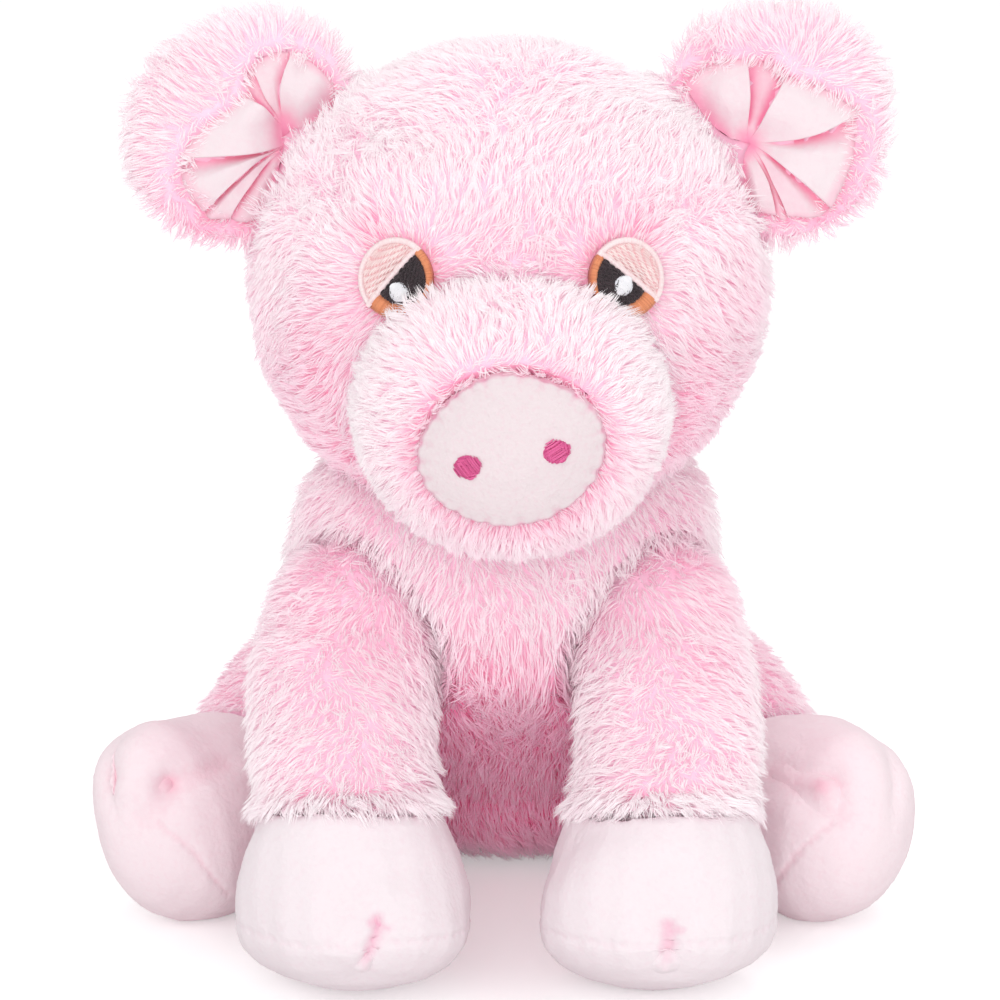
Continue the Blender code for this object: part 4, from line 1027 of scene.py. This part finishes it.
def groove(surface, line, depth, half_width):
    """Draws the cloth in along a bent line that is laid on it, and gives how near each point is.

    The line, the depth and the half width are in millimetres.
    """
    line = np.asarray(line, float) * MM
    spots = np.concatenate([
        a + (b - a) * np.linspace(0, 1, max(int(np.linalg.norm(b - a) / (0.7 * MM)), 2))[:, None]
        for a, b in zip(line, line[1:])
    ])
    spots = surface.points[nearest_of(spots, surface.points)]
    far = np.full(len(surface.points), 1.0)
    for spot in spots:
        far = np.minimum(far, np.sum((surface.points - spot) ** 2, axis=1))
    near = np.exp(-far / (half_width * MM) ** 2)
    surface.press(depth * MM * near)
    return near


# Eyes

LID_BORDER = 1.55 * MM
PUPIL_RADIUS = 7.0 * MM
PUPIL_STRETCH = np.array((1.0, 1.25))
PUPIL_SHIFT = 1.3 * MM
HIGHLIGHT_RADIUS = 2.7 * MM
HIGHLIGHTS = {"left": (-1.5 * MM, -1.95 * MM), "right": (1.5 * MM, -3.6 * MM)}
EYE_BED = -2.8 * MM


def eye_place(side_name):
    """Turns flat places on an eye, and lifts, into points over the head."""
    centre = EYE_CENTRES[side_name] - FACE_SHIFT - HEAD_CENTRE
    normal = unit(centre / HEAD_HALVES**2)
    right = unit(RIGHT - normal * normal[0])
    up = np.cross(right, -normal)

    def place(flat, lift):
        out = unit(centre + flat[:, :1] * right + flat[:, 1:] * up)
        radius = 1 / np.linalg.norm(out / HEAD_HALVES, axis=1, keepdims=True)
        return HEAD_CENTRE + FACE_SHIFT + out * (radius + lift[:, None])

    return place


def build_eye(name):
    rng = np.random.default_rng(101)
    place, slope = eye_place(name), EYES[name][1]
    inner = EYE_RADIUS - LID_BORDER
    shift = np.array((-PUPIL_SHIFT if name == "left" else PUPIL_SHIFT, 0.0))

    def pupil_arc(radius, count):
        return arc(radius, math.pi, 2 * math.pi, count) * PUPIL_STRETCH + shift

    def bed(outline, height, tint):
        """Bits that begin with the filling under the stitches, in the thread's deep colour: painted shade in
        the gaps between stitches.
        """
        bits = Bits()
        slab(bits, turned(outline, slope), place, EYE_BED, height, tint)
        return bits

    def stitch(bits, starts, ends, radius, crown, tint=0.2):
        threads(bits, turned(starts, slope), turned(ends, slope), place, radius, crown, rng, tint)

    lid = bed(arc(EYE_RADIUS - 0.3 * MM, 0, math.pi, 40), 0.15 * MM, 0.8)
    heights = np.arange(LID_BORDER, inner - 0.1 * MM, 0.47 * MM)
    stitch(lid, *rows(heights, inner, 3.3 * MM, 0.04 * MM, rng), 0.235, 0.30)
    lid.sewn("eyelid", name, thread="lid")

    border = Bits()
    count = int(math.pi * EYE_RADIUS / (0.34 * MM))
    rims = [arc(radius, 0, math.pi, count) for radius in (inner - 0.1 * MM, EYE_RADIUS + 0.1 * MM)]
    stitch(border, *rims, 0.2, 0.62, 0.12)
    across = np.arange(-EYE_RADIUS + 0.2 * MM, EYE_RADIUS - 0.2 * MM, 0.34 * MM)
    edges = [np.stack((across, np.full(len(across), height)), axis=1) for height in (-0.1 * MM, LID_BORDER)]
    stitch(border, *edges, 0.2, 0.66, 0.12)
    border.sewn("lid_border", name, slot="border", thread="border")

    iris = bed(arc(EYE_RADIUS - 0.4 * MM, math.pi, 2 * math.pi, 40), 0.05 * MM, 0.8)
    count = int(math.pi * EYE_RADIUS / (0.36 * MM))
    rim = arc(EYE_RADIUS, math.pi, 2 * math.pi, count)
    stitch(iris, pupil_arc(PUPIL_RADIUS - 0.2 * MM, count), rim, 0.21, 0.45)
    iris.sewn("iris", name)

    pupil = bed(pupil_arc(PUPIL_RADIUS - 0.1 * MM, 32), 0.2 * MM, 0.6)
    heights = np.arange(0.1 * MM, PUPIL_RADIUS - 0.3 * MM, 0.28 * MM)
    starts, ends = rows(heights, PUPIL_RADIUS, 1.9 * MM, 0.12 * MM, rng)
    under = PUPIL_STRETCH * (1, -1)
    stitch(pupil, starts * under + shift, ends * under + shift, 0.21, 0.42, 0.3)
    spots = rng.uniform(-1, 1, (420, 2)) * (PUPIL_RADIUS - 0.5 * MM)
    spots = spots[(np.linalg.norm(spots, axis=1) < PUPIL_RADIUS - 0.4 * MM) & (spots[:, 1] < -0.4 * MM)]
    leaning = rng.normal(0, 0.45 * MM, spots.shape) + (0, -0.35 * MM)
    spots = spots * PUPIL_STRETCH + shift
    stitch(pupil, spots - leaning, spots + leaning, 0.08, 0.75)
    pupil.sewn("pupil", name)

    middle = np.array(HIGHLIGHTS[name])
    shine = Bits()
    outline = arc(HIGHLIGHT_RADIUS - 0.2 * MM, 0, 2 * math.pi, 25)[:-1] + middle
    # The filling in the thread's deep colour: painted shade between the stitches.
    slab(shine, outline, place, 0.1 * MM, 0.6 * MM, 0.7)
    across = np.arange(-HIGHLIGHT_RADIUS + 0.1 * MM, HIGHLIGHT_RADIUS, 0.3 * MM)
    starts, ends = chords(across, np.sqrt(HIGHLIGHT_RADIUS**2 - across**2), slope + math.pi / 2)
    threads(shine, starts + middle, ends + middle, place, 0.18, 0.95, rng, 0.15)
    shine.sewn("highlight", name)


for name, _ in SIDES:
    build_eye(name)


# Snout

SNOUT_HALVES = np.array((24.2, 20.0)) * MM
SNOUT_FRONT = 153.5 * MM
SNOUT_CROWN = 6.5 * MM
SNOUT_HEIGHT = 153.5 * MM
SNOUT_TILT = math.radians(10)
SHIELD_NARROWING = 0.20
NOSTRIL_HALVES = np.array((3.5, 3.1)) * MM
NOSTRILS = {"left": (11.25 * MM, math.radians(112)), "right": (-11.25 * MM, math.radians(24))}


def snout_place(flat, lift):
    front = SNOUT_FRONT - SNOUT_CROWN * np.sum((flat / SNOUT_HALVES) ** 2, axis=1) + lift
    level = turned(flat, SNOUT_TILT)
    return np.stack((level[:, 0], -front, SNOUT_HEIGHT + level[:, 1]), axis=1) + FACE_SHIFT


def snout_shares(points):
    """Turn about the snout's middle, and the share of the way to the pad's rim."""
    across, up = (turned((points - SNOUT_MIDDLE)[:, [0, 2]], -SNOUT_TILT) / SNOUT_HALVES).T
    narrowing = 1 - SHIELD_NARROWING * np.clip(up, 0, 1) ** 2
    return np.arctan2(up, across), np.hypot(across / narrowing, up)


def build_snout():
    pad = solid(["snout_pad"], 0.8 * MM, 5).refined()
    pad.points += FACE_SHIFT
    turn, share = snout_shares(pad.points)
    ahead = smoothstep(-0.35, 0.2, -pad.normals[:, 1])
    wrinkles = np.sin(turn * 31 + 1.5 * np.sin(turn * 3)) * 0.6 + np.sin(turn * 19 + 2 * np.sin(turn * 2)) * 0.4
    rim = smoothstep(0.80, 1.0, share) * ahead
    soft = waves(pad.points, 0.02, 72)[:, 0] * 0.18 * MM
    pad.press(rim * (0.55 + 0.45 * wrinkles) * 0.75 * MM - soft)
    # Painted shade: deep pink where the pad's rim tucks into the fur and in its wrinkles.
    tint = np.clip(smoothstep(0.93, 1.02, share) * 0.55 + rim * np.clip(wrinkles, 0, 1) * 0.3, 0, 0.9)
    cloth_piece("snout_pad", "velboa", "head", "velboa", pad, SNOUT_VELBOA, tint, 0.8, 77)
    rng = np.random.default_rng(102)
    offset = np.arange(-0.97, 0.98, 0.105)
    half = np.sqrt(1 - offset**2)
    for name, _ in SIDES:
        across, angle = NOSTRILS[name]
        middle = np.array((across, -1.0 * MM))
        bits = Bits()
        outline = arc(1.0, 0, 2 * math.pi, 29)[:-1] * (NOSTRIL_HALVES - 0.25 * MM) + middle
        # The filling in the thread's deep colour: painted shade between the stitches.
        slab(bits, outline, snout_place, -0.8 * MM, 0.25 * MM, 0.9)
        for lift, twist, spare in ((0.42, 1.25, 0.9), (0.75, 0.0, 1.0)):
            ends = [spots * NOSTRIL_HALVES + middle for spots in chords(offset, half * spare, angle + twist)]
            shake = rng.normal(0, 0.16 * MM, ends[0].shape)
            threads(bits, ends[0] + shake, ends[1] + shake, snout_place, 0.185, lift, rng, 0.3)
        bits.sewn("nostril", name)


build_snout()


# Ear linings


def build_lining(name, side):
    reach = np.arange(1, LINING_STEPS + 1) / LINING_STEPS
    flat, roots, level, shade = pleats(name, reach)
    share = reach[:, None]
    ripple = waves(np.pad(flat.reshape(-1, 2), ((0, 0), (0, 1))), 0.009, 83)[:, 0].reshape(flat.shape[:2])
    height = lining_height(share, level) + ripple * 0.22 * MM * smoothstep(0.1, 0.5, share)
    width = flat.shape[1]
    top = np.concatenate((flat, height[:, :, None]), axis=2).reshape(-1, 3)
    low = np.pad(flat[-1], ((0, 0), (0, 1)), constant_values=LINING_ROOT - LINING_DEPTH)
    middle = roots.mean(axis=0)
    ends = np.array(((*middle, LINING_ROOT), (*middle, LINING_ROOT - LINING_DEPTH)))
    points = ear_world(np.concatenate((top, low, ends)), side)
    column = np.arange(width - 1)
    ring = np.stack((column, column + width, column + width + 1, column + 1), axis=1)
    grid = np.concatenate([ring + k * width for k in range(LINING_STEPS - 1)])
    rim, base = (LINING_STEPS - 1) * width + column, LINING_STEPS * width + column
    wall = np.stack((rim, base, base + 1, rim + 1), axis=1)
    middle, under = LINING_STEPS * width + width, LINING_STEPS * width + width + 1
    fan = np.stack((np.full(width - 1, middle), column, column + 1), axis=1)
    bottom = np.stack((base + 1, base, np.full(width - 1, under)), axis=1)
    spoke = np.arange(LINING_STEPS) * width
    first = np.array([[under, LINING_STEPS * width, *spoke[::-1], middle]])
    last = np.array([[middle, *(spoke + width - 1), LINING_STEPS * width + width - 1, under]])
    faces = [grid, wall, fan, bottom, first, last]
    if side > 0:
        faces = [group[:, ::-1] for group in faces]
    # Painted shade: deep pink in the tucked pleats, in the pit at the gather and along the rim.
    pit = np.exp(-((np.linalg.norm(flat - roots, axis=2) / PIT_REACH) ** 2))
    tint = np.maximum(shade * smoothstep(0.0, 0.35, share) * (1 - 0.35 * share), 0.75 * pit)
    tint = np.maximum(tint, 0.35 * smoothstep(0.88, 1.0, share))
    bits = Bits()
    bits.add(points, faces, np.concatenate((tint.ravel(), np.full(width + 2, 0.9))))
    bits.made(f"ear_lining_{name}", "velboa", LINING_VELBOA, f"ear_{name}", "ear_lining", 0.3)


for name, side in SIDES:
    build_lining(name, side)


# Paws and feet

CAD_CLEFT = np.array((-39.5, -146.0, 23.0)) * MM
PAW_CENTRE = np.array((39.5, -121.0)) * MM
PAW_CLEFTS = {
    "left": ((41.4, -146.7, 27.6), (41.2, -147.5, 25.0), (41.2, -148.4, 21.5), (41.0, -146.7, 15.6)),
    "right": ((-32.7, -146.5, 29.0), (-33.2, -148.0, 25.2), (-34.8, -148.6, 21.6), (-36.9, -146.9, 16.1)),
}
PAW_PINCHES = {
    "left": ((41.4, -148.0, 26.9), (44.2, -148.0, 26.3)),
    "right": ((-34.8, -147.0, 28.4), (-30.0, -147.0, 27.2)),
}
PAW_CREASE_SHADES = {"left": (0.42, 0.22), "right": (0.55, 0.3)}
FOOT_CLEFTS = (
    ((-90.6, -81.6, 42.6), (-97.0, -79.0, 42.0), (-104.3, -70.9, 41.1)),
    ((-90.6, -81.6, 42.6), (-93.0, -84.5, 38.0), (-96.7, -84.7, 34.9)),
    ((-90.6, -81.6, 42.6), (-82.7, -78.3, 44.5), (-75.8, -71.6, 45.4)),
)
FOOT_HEEL = np.array((-102.6, -74.0, 51.5)) * MM
FOOT_BULGES = {"left": 4.5 * MM, "right": 9.5 * MM}
FOOT_SHIFTS = {"left": -5.9, "right": 0.0}
FOOT_SEAM = (
    (-93.0, -86.5, 34.0), (-84.0, -88.0, 27.0), (-80.6, -87.6, 21.7), (-77.9, -85.5, 17.0), (-74.9, -82.8, 12.8)
)


def limb_end(part, limb, name, form, tint, slot, look, seed):
    """The velboa of a paw or foot, which ends inside its limb."""
    form = form.without(depths(form.points, FORMS[f"{limb}_{name}"]) > 4 * MM)
    cloth_piece(f"{part}_{name}", "velboa", f"{limb}_{name}", slot, form, look, tint[form.used], 0.9, seed)


def build_paw(name, side):
    paw = solid([f"forepaw_{name}", f"foreleg_stuffing_{name}"], 1.4 * MM, 30).refined()
    if name == "right":
        off = (paw.points - CAD_CLEFT) / (np.array((7.0, 15.0, 9.0)) * MM)
        filled = np.exp(-np.sum(off**2, axis=1))
        paw.points = paw.points + FRONT * (2.9 * MM * filled)[:, None]
        paw.find_normals()
    off = paw.points[:, :2] - PAW_CENTRE * (side, 1)
    turn = np.arctan2(off[:, 0], -off[:, 1])
    level = (20.0 + 3.0 * np.cos(turn)) * MM + waves(paw.points, 0.03, 91)[:, 0] * 0.4 * MM
    seam = np.exp(-(((paw.points[:, 2] - level) / (0.9 * MM)) ** 2))
    puckers = 0.75 + 0.25 * np.sin(turn * 45 + 2 * np.sin(turn * 4))
    paw.press(seam * puckers * 0.55 * MM)
    groove(paw, PAW_CLEFTS[name], 1.7, 6.0)
    cleft = groove(paw, PAW_CLEFTS[name], 1.5, 1.6)
    pinch = groove(paw, PAW_PINCHES[name], 0.4, 1.0)
    paw = paw.moved(waves(paw.points, 0.022, 92)[:, :1] * 0.35 * MM).smooth(2)
    fade = smoothstep(0.013, 0.024, paw.points[:, 2])
    deep, light = PAW_CREASE_SHADES[name]
    # Painted shade: deep pink in the cleft, less in the pinch, a trace along the sole seam.
    tint = np.clip(deep * cleft * fade + light * pinch + 0.06 * seam * puckers, 0, 0.9)
    limb_end("forepaw", "foreleg", name, paw, tint, "velboa", VELBOA, 71)


def build_foot(name, side):
    def line_at(line):
        return np.array(line) * (-side, 1, 1) + np.array((FOOT_SHIFTS[name], 0, 0))

    foot = solid([f"hindfoot_{name}", f"hindleg_stuffing_{name}"], 1.4 * MM, 30).refined()
    far = distance(foot.points, FOOT_HEEL * (-side, 1, 1))
    foot = foot.moved(FOOT_BULGES[name] * np.exp(-((far / (17 * MM)) ** 2))).smooth(4)
    tint = np.zeros(len(foot.points))
    for line, share in zip(FOOT_CLEFTS, (0.14, 0.10, 0.14)):
        groove(foot, line_at(line), 1.2, 6.0)
        tint = np.maximum(tint, groove(foot, line_at(line), 0.4, 3.0) * share)
    pit = groove(foot, line_at(FOOT_CLEFTS[0][:1] * 2), 0.8, 2.4)
    seam = groove(foot, line_at(FOOT_SEAM), 0.6, 0.9)
    foot = foot.moved(waves(foot.points, 0.024, 94)[:, :1] * 0.4 * MM).smooth(2)
    # Painted shade: deep pink in the folds, the pit and the sole seam.
    tint = np.clip(tint + 0.35 * pit + 0.14 * seam, 0, 0.9)
    limb_end("hindfoot", "hindleg", name, foot, tint, "foot_velboa", FOOT_VELBOA, 73)


for name, side in SIDES:
    build_paw(name, side)
    build_foot(name, side)


# Stuffing


def build_stuffing(node, body, seed):
    wool = solid([node], 2.4 * MM, 4)
    lumps = waves(wool.points, 0.016, seed)[:, :1] + 0.5 * waves(wool.points, 0.007, seed + 1)[:, :1]
    cloth_piece(node, "wool", body, "stuffing", wool.moved(lumps * 0.4 * MM), WOOL, 0.2, 0.9, seed, 0.12)


build_stuffing("body_stuffing", "body", 111)
build_stuffing("head_stuffing", "head", 113)
for name, _ in SIDES:
    build_stuffing(f"foreleg_stuffing_{name}", f"foreleg_{name}", 115)
    build_stuffing(f"hindleg_stuffing_{name}", f"hindleg_{name}", 117)


# Floor, light and camera


def seen_rays(tree):
    """The socket that is 1 for rays from the camera, straight or by way of metal or glass."""
    rays = add_node(tree, "LightPath").outputs
    total = rays["Is Camera Ray"]
    for kind in ("Is Glossy Ray", "Is Transmission Ray"):
        total = add_node(tree, "Math", {0: total, 1: rays[kind]}, operation="ADD", use_clamp=True).outputs[0]
    return total


def build_stage():
    bpy.ops.mesh.primitive_plane_add(size=6)
    floor = bpy.context.object
    floor.name = "floor"
    made, tree, shader = node_material("floor_paper", roughness=0.9, specular=0.1)
    shader.inputs["Base Color"].default_value = (0.85, 0.85, 0.85, 1)
    seen = add_node(tree, "Math", {0: seen_rays(tree), 1: 0.36}, operation="MULTIPLY")
    glow = add_node(tree, "Emission", {"Color": (1, 1, 1, 1), "Strength": seen.outputs[0]})
    both = add_node(tree, "AddShader", {0: shader.outputs[0], 1: glow.outputs[0]})
    tree.links.new(both.outputs[0], tree.nodes["Material Output"].inputs["Surface"])
    floor.data.materials.append(made)


def area_light(name, place, target, size, power):
    light = bpy.data.lights.new(name, "AREA")
    light.shape = "DISK"
    light.size = size
    light.energy = power
    made = bpy.data.objects.new(name, light)
    made.location = place
    made.rotation_euler = (Vector(target) - Vector(place)).to_track_quat("-Z", "Y").to_euler()
    bpy.context.scene.collection.objects.link(made)


def build_light():
    world = bpy.data.worlds.new("studio")
    bpy.context.scene.world = world
    world.use_nodes = True
    tree = world.node_tree
    back = tree.nodes["Background"]
    back.inputs["Color"].default_value = (1, 1, 1, 1)
    level = add_node(tree, "MapRange", {"Value": seen_rays(tree), "To Min": 0.72, "To Max": 1.0})
    tree.links.new(level.outputs["Result"], back.inputs["Strength"])
    area_light("key", (-0.5, -1.2, 0.9), (0, -0.05, 0.12), 1.0, 3.0)
    area_light("fill", (0.9, -1.0, 0.35), (0, -0.05, 0.12), 1.0, 1.5)
    area_light("front", (0, -1.35, 0.4), (0, -0.05, 0.10), 0.6, 3.3)
    area_light("top", (0.2, 0.3, 1.4), (0, -0.05, 0.12), 1.0, 4.0)


def build_camera():
    data = bpy.data.cameras.new("camera")
    data.sensor_width = SENSOR
    data.lens = FOCAL_PIXELS / PICTURE_PIXELS * SENSOR
    data.shift_x = (PICTURE_PIXELS / 2 - TARGET_PIXEL[0]) / PICTURE_PIXELS
    data.shift_y = (TARGET_PIXEL[1] - PICTURE_PIXELS / 2) / PICTURE_PIXELS
    camera = bpy.data.objects.new("camera", data)
    bpy.context.scene.collection.objects.link(camera)
    back = Vector((0, -math.cos(CAMERA_PITCH), math.sin(CAMERA_PITCH)))
    camera.location = CAMERA_TARGET + back * CAMERA_DISTANCE
    camera.rotation_euler = (math.pi / 2 - CAMERA_PITCH, 0, 0)
    bpy.context.scene.camera = camera


bpy.context.scene.cycles.max_bounces = 16
bpy.context.scene.cycles.diffuse_bounces = 12
build_stage()
build_light()
build_camera()
bpy.context.scene.view_settings.view_transform = "Standard"
